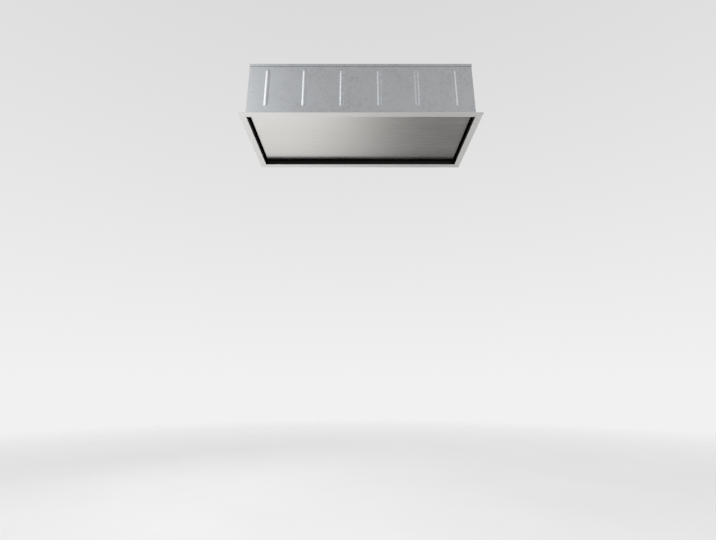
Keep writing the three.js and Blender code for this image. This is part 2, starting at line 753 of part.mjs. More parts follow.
// A channel frame open towards the mesh, with two hooks on its back edge.
function filterFrame() {
  const body = slab(filterLength, filterDepth, filterFoot, filterTop);
  const window = slab(
    filterLength - 2 * FILTER_MEMBER,
    filterDepth - 2 * FILTER_MEMBER,
    filterFoot - 1,
    filterTop + 1,
  );
  const channel = slab(
    filterLength - 2 * FILTER_SKIN,
    filterDepth - 2 * FILTER_SKIN,
    filterFoot + FILTER_SKIN,
    filterTop - FILTER_SKIN,
  );
  const hookFoot = ledgeTop + FILTER_GAP;
  const hooks = [-1, 1].map((side) =>
    slab(
      HOOK_WIDTH,
      HOOK_REACH + FILTER_SKIN / 2,
      hookFoot,
      hookFoot + HOOK_THICK,
      (side * HOOK_SPREAD) / 2,
      filterDepth / 2 + (HOOK_REACH - FILTER_SKIN / 2) / 2,
    ),
  );
  return joined([cut(body, window, channel), ...hooks]);
}

// The pleated mesh, with its pleats running front to back.
function filterMesh() {
  const halfX = filterLength / 2 - FILTER_SKIN - SEAT;
  const halfY = filterDepth / 2 - FILTER_SKIN - SEAT;
  const foot = filterFoot + FILTER_SKIN + SEAT;
  const rise = FILTER_THICK - 2 * (FILTER_SKIN + SEAT) - MESH_THICK;
  const step = halfX / FILTER_WAVES;
  const zigzag = (base) =>
    Array.from({ length: 2 * FILTER_WAVES + 1 }, (_, i) => [
      -halfX + i * step,
      base + (i % 2 ? rise : 0),
    ]);
  const points = [...zigzag(foot), ...zigzag(foot + MESH_THICK).reverse()];
  return extrudeY(outline(points), -halfY, halfY);
}

// A bent bar with a foot disc at each end, riveted to the frame's front member.
function filterHandle() {
  const half = HANDLE_LENGTH / 2;
  const top = filterFoot - SEAT;
  const bottom = filterFoot - HANDLE_DROP + HANDLE_RADIUS; // the bar's middle
  const path = new THREE.CurvePath();
  const at = (x, z) => new THREE.Vector3(x, 0, z);
  path.add(new THREE.LineCurve3(at(-half, top), at(-half, bottom + HANDLE_BEND)));
  path.add(
    new THREE.QuadraticBezierCurve3(
      at(-half, bottom + HANDLE_BEND),
      at(-half, bottom),
      at(-half + HANDLE_BEND, bottom),
    ),
  );
  path.add(new THREE.LineCurve3(at(-half + HANDLE_BEND, bottom), at(half - HANDLE_BEND, bottom)));
  path.add(
    new THREE.QuadraticBezierCurve3(
      at(half - HANDLE_BEND, bottom),
      at(half, bottom),
      at(half, bottom + HANDLE_BEND),
    ),
  );
  path.add(new THREE.LineCurve3(at(half, bottom + HANDLE_BEND), at(half, top)));
  const section = new THREE.Shape();
  section.absarc(0, 0, HANDLE_RADIUS, 0, 2 * Math.PI, false);
  const bar = new THREE.ExtrudeGeometry(section, {
    steps: HANDLE_STEPS,
    curveSegments: TUBE_SIDES / 2,
    extrudePath: path,
    bevelEnabled: false,
  });
  const feet = [-half, half].map((x) => rodZ(HANDLE_FOOT, top - HANDLE_FOOT_THICK, top, x));
  return joined([solidOf(bar), ...feet]).translate([0, magnetY, 0]);
}

function filters() {
  const group = new THREE.Group();
  group.add(meshOf("filter_tray", filterTray(), galvanised));
  group.add(meshOf("filter_ledge", filterLedge(), galvanised));
  FILTER_NAMES.forEach((name, index) => {
    const magnet = meshOf(`filter_magnet_${name}`, filterMagnet(), blackPlastic);
    magnet.position.set(filterX(index), magnetY, 0);
    const filter = new THREE.Group();
    filter.position.set(filterX(index), 0, 0);
    filter.add(meshOf(`filter_frame_${name}`, filterFrame(), filterAluminium));
    filter.add(meshOf(`filter_mesh_${name}`, filterMesh(), meshAluminium));
    filter.add(meshOf(`filter_handle_${name}`, filterHandle(), zincSteel));
    group.add(magnet, filter);
  });
  return group;
}

// ---------- blower, with its origin on the impeller's axis ----------
// The share of the scroll's growth at an angle counted from +Y towards +Z.
function scrollShare(angle) {
  return (angle - TONGUE_ANGLE) / (2 * Math.PI - TONGUE_ANGLE);
}

// The scroll's outline in Y and Z, moved out by a wall, with its outlet open at the given height.
function scrollOutline(wall, top) {
  const start = Math.acos((tongueY - wall) / (cutoffRadius + wall));
  const spiral = Array.from({ length: SCROLL_STEPS + 1 }, (_, i) => {
    const angle = start + ((2 * Math.PI - start) * i) / SCROLL_STEPS;
    const radius = cutoffRadius + SCROLL_GROWTH * scrollShare(angle) + wall;
    return [radius * Math.cos(angle), radius * Math.sin(angle)];
  });
  return outline([[tongueY - wall, top], ...spiral, [fullRadius + wall, top]]);
}

function scrollShell(side) {
  const along = (a, b) => (side < 0 ? [-b, -a] : [a, b]);
  const half = SEAT / 2;
  const shell = extrudeX(scrollOutline(SCROLL_WALL, outletTop), ...along(half, scrollSide));
  const flange = block(
    ...along(half, scrollSide + SCROLL_FLANGE),
    tongueY - SCROLL_WALL - SCROLL_FLANGE,
    fullRadius + SCROLL_WALL + SCROLL_FLANGE,
    outletTop - SCROLL_WALL,
    outletTop,
  );
  const flow = extrudeX(scrollOutline(0, outletTop + 1), ...along(-1, SCROLL_HALF_WIDTH));
  const inlet = rodX(
    throatOut + SEAT,
    ...along(SCROLL_HALF_WIDTH - 1, scrollSide + 1),
    0,
    0,
    ROUND_SIDES,
  );
  return cut(shell.add(flange), flow, inlet);
}

// The bell mouth of an inlet, opening towards +X.
function inletRing() {
  const seat = scrollSide + SEAT;
  const inner = SCROLL_HALF_WIDTH - THROAT_REACH;
  return turnedX([
    [throatRadius, inner],
    [throatOut, inner],
    [throatOut, seat],
    [throatOut + INLET_FLANGE, seat],
    [throatOut + INLET_FLANGE, inletFace],
    [throatRadius + INLET_LIP, inletFace],
    [throatRadius, inletFace - INLET_LIP],
  ]);
}

// A flat ring about X.
function washerX(outer, inner, x0, x1, sides = ROUND_SIDES) {
  return rodX(outer, x0, x1, 0, 0, sides).subtract(rodX(inner, x0 - 1, x1 + 1, 0, 0, sides));
}

// Forward-curved blades between two end rings, on a centre disc.
function impeller() {
  const bend = (share) => BLADE_SWEEP * share * share;
  const station = (share, offset) => {
    const radius = bladeRoot + BLADE_DEPTH * share;
    const angle = bend(share) + offset / radius;
    return [radius * Math.cos(angle), radius * Math.sin(angle)];
  };
  const shares = [BLADE_SINK, 0.5, 1 - BLADE_SINK];
  const blade = outline([
    ...shares.map((share) => station(share, 0)),
    ...shares.map((share) => station(share, BLADE_THICK)).reverse(),
  ]);
  const half = IMPELLER_HALF_WIDTH;
  const bladeReach = half - IMPELLER_RING / 2;
  const blades = Array.from({ length: BLADE_COUNT }, (_, i) =>
    extrudeX(blade, -bladeReach, bladeReach).rotate([(360 * i) / BLADE_COUNT, 0, 0]),
  );
  const disc = rodX(impellerRadius, -SHEET, SHEET, 0, 0, ROUND_SIDES);
  const hub = rodX(HUB_RADIUS, -HUB_LENGTH / 2, HUB_LENGTH / 2);
  const rings = [-1, 1].map((side) => {
    const reach = [side * (half - IMPELLER_RING), side * half].sort((a, b) => a - b);
    return washerX(impellerRadius, bladeRoot, ...reach);
  });
  const whole = joined([disc, hub, ...rings, ...blades]);
  return whole.subtract(rodX(SHAFT_RADIUS + SEAT, -HUB_LENGTH, HUB_LENGTH));
}

const motorShaft = () => rodX(SHAFT_RADIUS, SHAFT_OUT - SHAFT_LENGTH, SHAFT_OUT);

function motor() {
  const can = rodX(motorRadius, -motorRear, -MOTOR_FRONT, 0, 0, ROUND_SIDES);
  const cap = rodX(motorRadius - MOTOR_CAP_STEP, -motorRear - MOTOR_CAP_LENGTH, -motorRear + 1);
  const nose = rodX(HUB_RADIUS, -MOTOR_FRONT - 1, -HUB_LENGTH / 2 - NOSE_GAP);
  const bore = rodX(SHAFT_RADIUS + RUNNING, SHAFT_OUT - SHAFT_LENGTH - NOSE_GAP, 0);
  return joined([can, cap, nose]).subtract(bore);
}

// The three-armed plate that holds the motor in the left inlet.
function motorBracket() {
  const x1 = -(inletFace + SEAT);
  const x0 = x1 - SPIDER_THICK;
  const rimOut = throatOut + INLET_FLANGE;
  const hubIn = motorRadius + SEAT;
  const rim = washerX(rimOut, throatRadius + INLET_LIP, x0, x1);
  const hub = washerX(hubIn + SPIDER_HUB_WALL, hubIn, x0, x1);
  const arms = Array.from({ length: SPIDER_ARMS }, (_, i) => {
    const half = SPIDER_ARM_WIDTH / 2;
    const armIn = hubIn + SPIDER_HUB_WALL / 2;
    const arm = block(x0, x1, armIn, (throatRadius + rimOut) / 2, -half, half);
    return arm.rotate([90 + (360 * i) / SPIDER_ARMS, 0, 0]);
  });
  return joined([rim, hub, ...arms]);
}

// The plate under the lid that the scroll hangs from, with its outlet window.
function blowerPlate() {
  const plate = slab(
    BLOWER_PLATE_LENGTH,
    BLOWER_PLATE_DEPTH,
    blowerPlateFoot,
    blowerPlateFoot + BLOWER_PLATE_THICK,
  );
  const window = slab(
    2 * SCROLL_HALF_WIDTH,
    fullRadius - tongueY,
    blowerPlateFoot - 1,
    gasketFoot,
  );
  return plate.subtract(window);
}

function outletGasket() {
  const pad = slab(
    BLOWER_PLATE_LENGTH,
    BLOWER_PLATE_DEPTH,
    gasketFoot,
    gasketFoot + GASKET_THICK,
  );
  return pad.subtract(rodZ(spigotBore, gasketFoot - 1, lidUnder, 0, 0, ROUND_SIDES));
}

function blower() {
  const group = new THREE.Group();
  const onAxis = new THREE.Group();
  onAxis.position.set(0, blowerY, blowerZ);
  onAxis.add(meshOf("scroll_shell_left", scrollShell(-1), greyPlastic));
  onAxis.add(meshOf("scroll_shell_right", scrollShell(1), greyPlastic));
  onAxis.add(meshOf("inlet_ring_left", inletRing().mirror([1, 0, 0]), blackPlastic));
  onAxis.add(meshOf("inlet_ring_right", inletRing(), blackPlastic));
  onAxis.add(meshOf("impeller", impeller(), blackPlastic));
  onAxis.add(meshOf("motor_shaft", motorShaft(), zincSteel));
  onAxis.add(meshOf("motor", motor(), castAluminium));
  onAxis.add(meshOf("motor_bracket", motorBracket(), zincSteel));
  group.add(onAxis);
  group.add(meshOf("blower_plate", blowerPlate(), galvanised));
  group.add(meshOf("outlet_gasket", outletGasket(), rubber));
  return group;
}

// ---------- outlet spigot and damper, with the origin on the lid ----------
function ductSpigot() {
  const out = SPIGOT_RADIUS;
  const beadTop = SPIGOT_HEIGHT - SPIGOT_BEAD_DROP;
  const shell = turnedZ([
    [spigotBore, SEAT],
    [out + SPIGOT_FLANGE, SEAT],
    [out + SPIGOT_FLANGE, SEAT + SPIGOT_WALL],
    [out, SEAT + SPIGOT_WALL],
    [out, beadTop - 2 * SPIGOT_BEAD],
    [out + SPIGOT_BEAD, beadTop - SPIGOT_BEAD],
    [out, beadTop],
    [out, SPIGOT_HEIGHT],
    [spigotBore, SPIGOT_HEIGHT],
  ]);
  return shell.subtract(rodX(SPINDLE_RADIUS + SEAT, -out - 1, out + 1, 0, SPINDLE_RISE));
}

const spindleReach = SPIGOT_RADIUS + SPINDLE_TAIL;
const damperSpindle = () => rodX(SPINDLE_RADIUS, -spindleReach, spindleReach);

// A half disc with barrels on the spindle. Side is -1 for the front flap and 1 for the back
// one, whose barrels lie in the gaps of the front one's.
function damperFlap(side) {
  const radius = spigotBore - FLAP_GAP;
  const start = Math.asin(FLAP_SPLIT / radius);
  const half = new THREE.Shape();
  half.absarc(0, 0, radius, start, Math.PI - start, false);
  const plate = extrudeZ(half, -FLAP_THICK / 2, FLAP_THICK / 2);
  const turned = side > 0 ? plate : plate.rotate([0, 0, 180]);
  const firstBarrel = (side > 0 ? 1 - BARRELS_EACH : -BARRELS_EACH) * BARREL_LENGTH;
  const webReach = [0, side * (FLAP_SPLIT + WEB_LAP)].sort((a, b) => a - b);
  const barrels = Array.from({ length: BARRELS_EACH }, (_, i) => {
    const end = firstBarrel + (2 * i + 1) * BARREL_LENGTH;
    const reach = [end - BARREL_LENGTH + BARREL_GAP / 2, end - BARREL_GAP / 2];
    const web = block(...reach, ...webReach, -FLAP_THICK / 2, FLAP_THICK / 2);
    return rodX(BARREL_RADIUS, ...reach).add(web);
  });
  const bore = rodX(SPINDLE_RADIUS + RUNNING, -radius, radius);
  return joined([turned, ...barrels]).subtract(bore);
}

function outlet() {
  const group = new THREE.Group();
  group.position.set(0, 0, CASING_HEIGHT);
  group.add(meshOf("duct_spigot", ductSpigot(), galvanised));
  const damper = new THREE.Group();
  damper.position.set(0, 0, SPINDLE_RISE);
  damper.add(meshOf("damper_spindle", damperSpindle(), zincSteel));
  damper.add(meshOf("damper_flap_front", damperFlap(-1), blackPlastic));
  damper.add(meshOf("damper_flap_back", damperFlap(1), blackPlastic));
  group.add(damper);
  return group;
}

// ---------- control box and motor lead ----------
function controlBox() {
  const body = slab(BOX_LENGTH, BOX_DEPTH, boxFoot, boxFoot + BOX_HEIGHT);
  const inside = slab(
    BOX_LENGTH - 2 * BOX_WALL,
    BOX_DEPTH - 2 * BOX_WALL,
    boxFoot + BOX_WALL,
    boxFoot + BOX_HEIGHT + 1,
  );
  const postX = boardLength / 2 - POST_INSET;
  const postY = boardDepth / 2 - POST_INSET;
  const post = rodZ(POST_RADIUS, boxFoot + BOX_WALL / 2, boardFoot - SEAT, 0, 0, POST_SIDES);
  const posts = [-1, 1].flatMap((sx) =>
    [-1, 1].map((sy) => post.translate([sx * postX, sy * postY, 0])),
  );
  const leadHole = rodZ(
    LEAD_RADIUS + LEAD_HOLE_GAP,
    boxFoot - 1,
    boxFoot + BOX_WALL + 1,
    LEAD_FROM_BOX_X,
    LEAD_FROM_BOX_Y,
  );
  const wall = -BOX_LENGTH / 2;
  const glandHole = rodX(GLAND_RADIUS + SEAT, wall - 1, wall + BOX_WALL + 1, 0, glandZ);
  return cut(joined([body.subtract(inside), ...posts]), leadHole, glandHole);
}

function controlBoxLid() {
  const foot = boxFoot + BOX_HEIGHT + SEAT;
  const inX = BOX_LENGTH / 2 - BOX_WALL - SEAT;
  const inY = BOX_DEPTH / 2 - BOX_WALL - SEAT;
  const cover = slab(BOX_LENGTH, BOX_DEPTH, foot, foot + BOX_WALL);
  const lip = ring(
    inX,
    inY,
    inX - BOX_WALL,
    inY - BOX_WALL,
    foot - BOX_LID_LIP,
    foot + BOX_WALL / 2,
  );
  return cover.add(lip);
}

// The circuit board with what is soldered to it.
function controlBoard() {
  const top = boardFoot + BOARD_THICK;
  const solder = top - BOARD_THICK / 2;
  const steps = (count) => count * BOARD_GRID;
  const parts = BOARD_BLOCKS.map(({ x, y, length, depth, height }) =>
    slab(steps(length), steps(depth), solder, top + steps(height), steps(x), steps(y)),
  );
  const capacitor = rodZ(
    steps(CAPACITOR.radius),
    solder,
    top + steps(CAPACITOR.height),
    steps(CAPACITOR.x),
    steps(CAPACITOR.y),
  );
  return joined([slab(boardLength, boardDepth, boardFoot, top), ...parts, capacitor]);
}

// The inlet of the supply lead, on the box's left wall.
function cableGland() {
  const wall = -BOX_LENGTH / 2;
  const nutFace = wall - SEAT;
  const domeEnd = nutFace - GLAND_NUT_THICK - GLAND_DOME;
  const thread = rodX(GLAND_RADIUS, nutFace - GLAND_NUT_THICK / 2, wall + GLAND_THREAD, 0, glandZ);
  const nut = rodX(GLAND_NUT_RADIUS, nutFace - GLAND_NUT_THICK, nutFace, 0, glandZ, 6);
  const dome = rodX(GLAND_RADIUS, domeEnd, nutFace - GLAND_NUT_THICK / 2, 0, glandZ);
  const bore = rodX(GLAND_BORE, domeEnd - 1, wall + GLAND_THREAD + 1, 0, glandZ);
  return joined([thread, nut, dome]).subtract(bore);
}

// The lead from the motor's rear cap up into the control box.
function motorLead() {
  const start = -(motorRear + MOTOR_CAP_LENGTH + SEAT);
  const halfway = (blowerY + leadY) / 2;
  const bends = (count) => count * LEAD_BEND;
  const route = new THREE.CatmullRomCurve3([
    new THREE.Vector3(start, blowerY, blowerZ),
    new THREE.Vector3(start - bends(1), blowerY, blowerZ),
    new THREE.Vector3(start - bends(3), halfway, blowerZ + bends(0.9)),
    new THREE.Vector3(leadX + bends(1.6), leadY, blowerZ + bends(3)),
    new THREE.Vector3(leadX + bends(0.2), leadY, lidUnder - bends(1.1)),
    new THREE.Vector3(leadX, leadY, lidUnder - bends(0.12)),
    new THREE.Vector3(leadX, leadY, boardFoot - LEAD_END_GAP),
  ]);
  const section = new THREE.Shape();
  section.absarc(0, 0, LEAD_RADIUS, 0, 2 * Math.PI, false);
  const options = {
    steps: LEAD_STEPS,
    curveSegments: TUBE_SIDES / 2,
    extrudePath: route,
    bevelEnabled: false,
  };
  return solidOf(new THREE.ExtrudeGeometry(section, options));
}

function electrics() {
  const group = new THREE.Group();
  const box = new THREE.Group();
  box.position.set(boxX, boxY, 0);
  box.add(meshOf("control_box", controlBox(), blackPlastic));
  box.add(meshOf("control_box_lid", controlBoxLid(), blackPlastic));
  box.add(meshOf("control_board", controlBoard(), greenBoard));
  box.add(meshOf("cable_gland", cableGland(), greyPlastic));
  group.add(box);
  group.add(meshOf("motor_lead", motorLead(), rubber));
  return group;
}

// ---------- hangers ----------
// A Z-shaped bracket on the lid whose tongue hooks over a hanging rod. Its tongue points
// towards the hood's centre; side is -1 at the left end and 1 at the right.
function hanger(side) {
  const foot = SEAT;
  const tongueFoot = foot + HANGER_RISE;
  const toward = (a, b) => (side < 0 ? [a, b] : [-b, -a]);
  const half = HANGER_WIDTH / 2;
  const parts = [
    block(...toward(-HANGER_FOOT, 0), -half, half, foot, foot + HANGER_THICK),
    block(...toward(-HANGER_THICK, 0), -half, half, foot, tongueFoot + HANGER_THICK),
    block(
      ...toward(-HANGER_THICK, HANGER_TONGUE),
      -half,
      half,
      tongueFoot,
      tongueFoot + HANGER_THICK,
    ),
  ];
  const slotEnd = HANGER_TONGUE - ROD_SLOT_DEPTH + ROD_SLOT_WIDTH / 2;
  const slot = block(
    ...toward(slotEnd, HANGER_TONGUE + 1),
    -ROD_SLOT_WIDTH / 2,
    ROD_SLOT_WIDTH / 2,
    tongueFoot - 1,
    tongueFoot + HANGER_THICK + 1,
  );
  const end = rodZ(
    ROD_SLOT_WIDTH / 2,
    tongueFoot - 1,
    tongueFoot + HANGER_THICK + 1,
    toward(slotEnd, slotEnd)[0],
  );
  return cut(joined(parts), slot, end);
}

function hangers() {
  const group = new THREE.Group();
  for (const [endName, sx] of SIDE_NAMES) {
    for (const [rowName, sy] of [
      ["front", -1],
      ["back", 1],
    ]) {
      const piece = meshOf(`hanger_${rowName}_${endName}`, hanger(sx), zincSteel);
      piece.position.set(sx * hangerX, sy * hangerY, CASING_HEIGHT);
      group.add(piece);
    }
  }
  return group;
}

const hood = new THREE.Group();
hood.add(
  frameAndSeal(),
  casing(),
  panelGroup(),
  hingesAndLatches(),
  filters(),
  blower(),
  outlet(),
  electrics(),
  hangers(),
);

export default hood;
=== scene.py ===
import json
import math

import bmesh
import bpy
from mathutils import Matrix, Vector
from mathutils.bvhtree import BVHTree

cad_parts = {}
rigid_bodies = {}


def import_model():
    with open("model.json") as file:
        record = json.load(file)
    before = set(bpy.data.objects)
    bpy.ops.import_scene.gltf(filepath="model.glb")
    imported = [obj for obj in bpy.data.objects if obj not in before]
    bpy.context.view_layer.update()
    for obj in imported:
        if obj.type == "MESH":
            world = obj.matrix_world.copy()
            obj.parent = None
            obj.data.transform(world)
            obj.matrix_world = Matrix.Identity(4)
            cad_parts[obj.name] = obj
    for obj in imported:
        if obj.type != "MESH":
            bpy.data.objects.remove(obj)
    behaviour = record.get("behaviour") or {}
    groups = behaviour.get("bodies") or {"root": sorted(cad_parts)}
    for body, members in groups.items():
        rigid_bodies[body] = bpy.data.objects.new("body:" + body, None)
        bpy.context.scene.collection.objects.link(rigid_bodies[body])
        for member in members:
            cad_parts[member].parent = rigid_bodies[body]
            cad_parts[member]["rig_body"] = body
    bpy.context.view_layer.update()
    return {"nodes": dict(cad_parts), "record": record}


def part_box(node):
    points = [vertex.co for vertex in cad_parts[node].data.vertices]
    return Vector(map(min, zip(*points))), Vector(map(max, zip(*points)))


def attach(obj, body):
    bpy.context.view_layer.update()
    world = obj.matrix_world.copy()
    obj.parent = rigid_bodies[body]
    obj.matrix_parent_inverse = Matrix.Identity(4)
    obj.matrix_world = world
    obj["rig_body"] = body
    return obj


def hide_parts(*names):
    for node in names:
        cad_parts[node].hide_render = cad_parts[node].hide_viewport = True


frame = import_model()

MM = 0.001
X, Y, Z = Vector((1, 0, 0)), Vector((0, 1, 0)), Vector((0, 0, 1))

# ---------- driving values, in mm where nothing else is said ----------
IMAGE_WIDTH = 716  # pixels
FOCAL = 387.4  # pixels, from the perspective of the frame's edges
SENSOR = 36.0
CAMERA_PLACE = (-13.7, -1848.0, -1263.0)  # below the ceiling and in front of the hood
CAMERA_TILT = 16.21  # degrees above the horizon
FAR_CLIP = 200  # metres

FLOOR_DROP = 2600.0  # from the hood down to the floor
FLOOR_SIZE = 60000.0
FLOOR_FADE = (4, 14)  # metres from the middle between which the floor fades away

SHEET = 1.2  # steel of the casing, the collar and the spigot
CASING_OUT = 1.4  # from the collar's outer face to the casing's
BEND = 0.35  # rounding of cut sheet edges
# How far some nodes are rounded instead, by the start of their names.
ROUNDING = {
    "latch_housing": 1.0,
    "control_box": 0.8,
    "hanger": 0.7,
    "filter_magnet": 0.6,
    "motor": 0.8,
}
# The nodes that functions of their own make afresh, by the start of their names.
OWN = ("ceiling_frame", "centre_panel", "filter_mesh", "filter_handle")
OWN += ("latch_plunger", "duct_spigot", "cable_gland")
# Degrees from which an edge is shaded sharp, also on small parts and on pressed forms.
SHARP, SHARP_SMALL, SHARP_PRESSED = 34, 40, 50
ROUNDED = 35.0  # degrees from which an edge is rounded
FLAT = 0.4  # degrees below which two faces count as one
WELD_GAP = 2e-6  # metres below which two vertices count as one
END_ON = 0.7  # a normal's share of a direction, from which a face counts as across it

# Each lamp: its place, its size and its power in watts. All of them aim at the hood.
LAMPS = {
    "lamp_left": ((-4500, -3500, 2500), 5000, 155),
    "lamp_right": ((5000, -1500, 2000), 4500, 75),
    "lamp_back": ((-2500, 5000, 2200), 4000, 70),
}

# The dome. Its ranges are of the X, Y or Z of a direction, whose length is 1.
BACKDROP = 0.88  # the pale backdrop, at the horizon
BACKDROP_HIGH = 0.68  # and overhead
OVERHEAD = 0.9  # the Z from which on it is overhead
GROUND = 0.55  # what surfaces see straight below, in place of the floor
STRAIGHT_BELOW = -0.8  # the Z from which down it is straight below
LEAN = (0.8, 0.6, 0.0)  # the side of the studio that is brighter for surfaces
DIM_SIDE, BRIGHT_SIDE = 0.6, 1.2  # shares of the backdrop on the far side and on that one
# The sweep is what surfaces see behind and under the hood: X, its level and its tint.
SWEEP = [
    (-0.45, 1.22, 0.0),
    (-0.16, 1.2, 0.005),
    (0.0, 0.66, 0.015),
    (0.1, 0.28, 0.05),
    (0.28, 0.09, 0.02),
    (0.4, 0.5, 0.0),
    (0.48, 3.1, 0.0),
    (0.56, 3.0, 0.0),
    (0.66, 1.6, 0.0),
]
SWEEP_TOP = 3.1  # a ramp holds no more than 1, so its levels are shares of this
SWEEP_LEFT, SWEEP_RIGHT = -0.5, 0.7  # the X at the two ends of the ramp
SWEEP_BEHIND = (0.3, 0.65)  # the Y between which the sweep comes in
SWEEP_UNDER = (-0.45, -0.22)  # the Z between which it goes out
SWEEP_FALL = (-0.68, -0.38)  # the Z between which it dims
SWEEP_LOW, SWEEP_HIGH = 1.36 * SWEEP_TOP, 0.1 * SWEEP_TOP  # its gain below and above those
STEEP = (-0.78, -0.68)  # the Z between which its highest level goes down
STEEP_TOP = 1.4  # to this one, so that the panel doesn't glare from below

# ---------- camera ----------


def make_camera():
    data = bpy.data.cameras.new("camera")
    data.sensor_width = SENSOR
    data.lens = FOCAL / IMAGE_WIDTH * SENSOR
    data.clip_end = FAR_CLIP
    camera = bpy.data.objects.new("camera", data)
    camera.location = Vector(CAMERA_PLACE) * MM
    camera.rotation_euler = (math.radians(90 + CAMERA_TILT), 0, 0)
    bpy.context.scene.collection.objects.link(camera)
    bpy.context.scene.camera = camera


# ---------- material helpers ----------


def add(tree, kind, inputs=None, **settings):
    """A shader node with its settings made and its inputs linked or given a value."""
    made = tree.nodes.new("ShaderNode" + kind)
    for name, value in settings.items():
        setattr(made, name, value)
    for name, value in (inputs or {}).items():
        if isinstance(value, bpy.types.NodeSocket):
            tree.links.new(value, made.inputs[name])
        else:
            made.inputs[name].default_value = value
    return made


def start_material(name, roughness, metallic, **sockets):
    material = bpy.data.materials.new(name)
    material.use_nodes = True
    shader = material.node_tree.nodes["Principled BSDF"]
    shader.inputs["Roughness"].default_value = roughness
    shader.inputs["Metallic"].default_value = metallic
    for socket, value in sockets.items():
        shader.inputs[socket.replace("_", " ")].default_value = value
    return material, material.node_tree, shader


def surface(tree, shader, color, roughness, normal):
    """Links the three things that every finish gives its shader."""
    tree.links.new(color, shader.inputs["Base Color"])
    tree.links.new(roughness, shader.inputs["Roughness"])
    tree.links.new(normal, shader.inputs["Normal"])


def place(tree, stretch=(1, 1, 1), uv=None):
    """The point in metres, stretched along each axis, from the object or from a UV map."""
    if uv:
        point = add(tree, "UVMap", uv_map=uv).outputs["UV"]
    else:
        point = add(tree, "TexCoord").outputs["Object"]
    return add(tree, "Mapping", {"Vector": point, "Scale": stretch}).outputs["Vector"]


def combined(tree, operation, first, second):
    """Two numbers put together by a Math node."""
    return add(tree, "Math", {0: first, 1: second}, operation=operation).outputs[0]


def scaled(tree, vector, by):
    return add(tree, "VectorMath", {0: vector, "Scale": by}, operation="SCALE").outputs["Vector"]


def mixed(tree, factor, first, second):
    """The first colour where the factor is 0 and the second one where it is 1."""
    inputs = {"Factor": factor, 6: first, 7: second}  # a Mix node's colours, A and B
    return add(tree, "Mix", inputs, data_type="RGBA").outputs[2]


def noise(tree, vector, scale, detail=2.0, roughness=0.5):
    inputs = {"Vector": vector, "Scale": scale, "Detail": detail, "Roughness": roughness}
    return add(tree, "TexNoise", inputs).outputs["Fac"]


def between(tree, factor, low, high, start=0.3, end=0.7):
    """A number that goes from low to high as the factor goes from start to end."""
    inputs = {"Value": factor, "From Min": start, "From Max": end, "To Min": low, "To Max": high}
    return add(tree, "MapRange", inputs).outputs["Result"]


def tones(tree, factor, dark, light, start=0.3, end=0.7):
    """A colour that goes from dark to light as the factor goes from start to end."""
    ramp = add(tree, "ValToRGB", {"Fac": factor})
    for element, position, color in zip(ramp.color_ramp.elements, (start, end), (dark, light)):
        element.position = position
        element.color = (*color, 1)
    return ramp.outputs["Color"]


def shade(color, share):
    """The colour made darker or lighter by a share."""
    return tuple(min(1, channel * share) for channel in color)


def bump(tree, height, distance, strength, under=None):
    """A normal from a height map, whose full height is a distance in mm, over another normal."""
    inputs = {"Height": height, "Distance": distance * MM, "Strength": strength}
    if under:
        inputs["Normal"] = under
    return add(tree, "Bump", inputs).outputs["Normal"]


# ---------- materials ----------


def brushed(name, color, roughness, anisotropy, spread):
    """Steel with its grain along the u direction of the UV map called grain."""
    material, tree, shader = start_material(
        name, roughness, 1, Anisotropic=anisotropy, Anisotropic_Rotation=0.25
    )
    scratches = noise(tree, place(tree, (9, 2600, 1), "grain"), 1, 4, 0.65)
    streaks = noise(tree, place(tree, (1.3, 330, 1), "grain"), 1, 3, 0.6)
    clouds = noise(tree, place(tree, (2.2, 5, 1), "grain"), 1, 2)
    both = combined(tree, "ADD", scratches, streaks)
    color_in = tones(tree, both, shade(color, 1 - spread), shade(color, 1 + spread), 0.7, 1.3)
    rough_low = between(tree, both, roughness - 0.05, roughness + 0.05, 0.7, 1.3)
    rough = combined(tree, "ADD", rough_low, between(tree, clouds, -0.02, 0.02))
    fine = bump(tree, scratches, 0.012, 0.35)
    surface(tree, shader, color_in, rough, bump(tree, streaks, 0.02, 0.25, fine))
    tangent = add(tree, "Tangent", direction_type="UV_MAP", uv_map="grain")
    tree.links.new(tangent.outputs["Tangent"], shader.inputs["Tangent"])
    return material


def galvanised(name, color):
    """Zinc-dipped sheet: spangle in two sizes, a cloudy bloom and the marks of rolling."""
    crystals = (110, 340)  # to the metre, in the large spangle and in the small one
    tilt = 0.045  # how far a crystal leans, as a share of its normal
    material, tree, shader = start_material(name, 0.4, 1)
    large, small = (
        add(tree, "TexVoronoi", {"Vector": place(tree), "Scale": scale}).outputs["Color"]
        for scale in crystals
    )
    spangle = mixed(tree, 0.4, large, small)
    crystal = add(tree, "SeparateColor", {"Color": spangle}).outputs[0]
    bloom = noise(tree, place(tree), 5, 5, 0.65)
    rolled = noise(tree, place(tree, (14, 500, 500)), 1, 3, 0.6)
    mix = combined(tree, "ADD", crystal, bloom)
    color_in = tones(tree, mix, shade(color, 0.88), shade(color, 1.1), 0.4, 1.6)
    rough = between(tree, mix, 0.33, 0.47, 0.4, 1.6)
    lean = add(tree, "VectorMath", {0: spangle, 1: (0.5, 0.5, 0.5)}, operation="SUBTRACT")
    slight = scaled(tree, lean.outputs[0], tilt)
    normal = add(tree, "NewGeometry").outputs["Normal"]
    leant = add(tree, "VectorMath", {0: normal, 1: slight}, operation="ADD")
    facets = add(tree, "VectorMath", {0: leant.outputs[0]}, operation="NORMALIZE").outputs[0]
    surface(tree, shader, color_in, rough, bump(tree, rolled, 0.01, 0.3, facets))
    return material


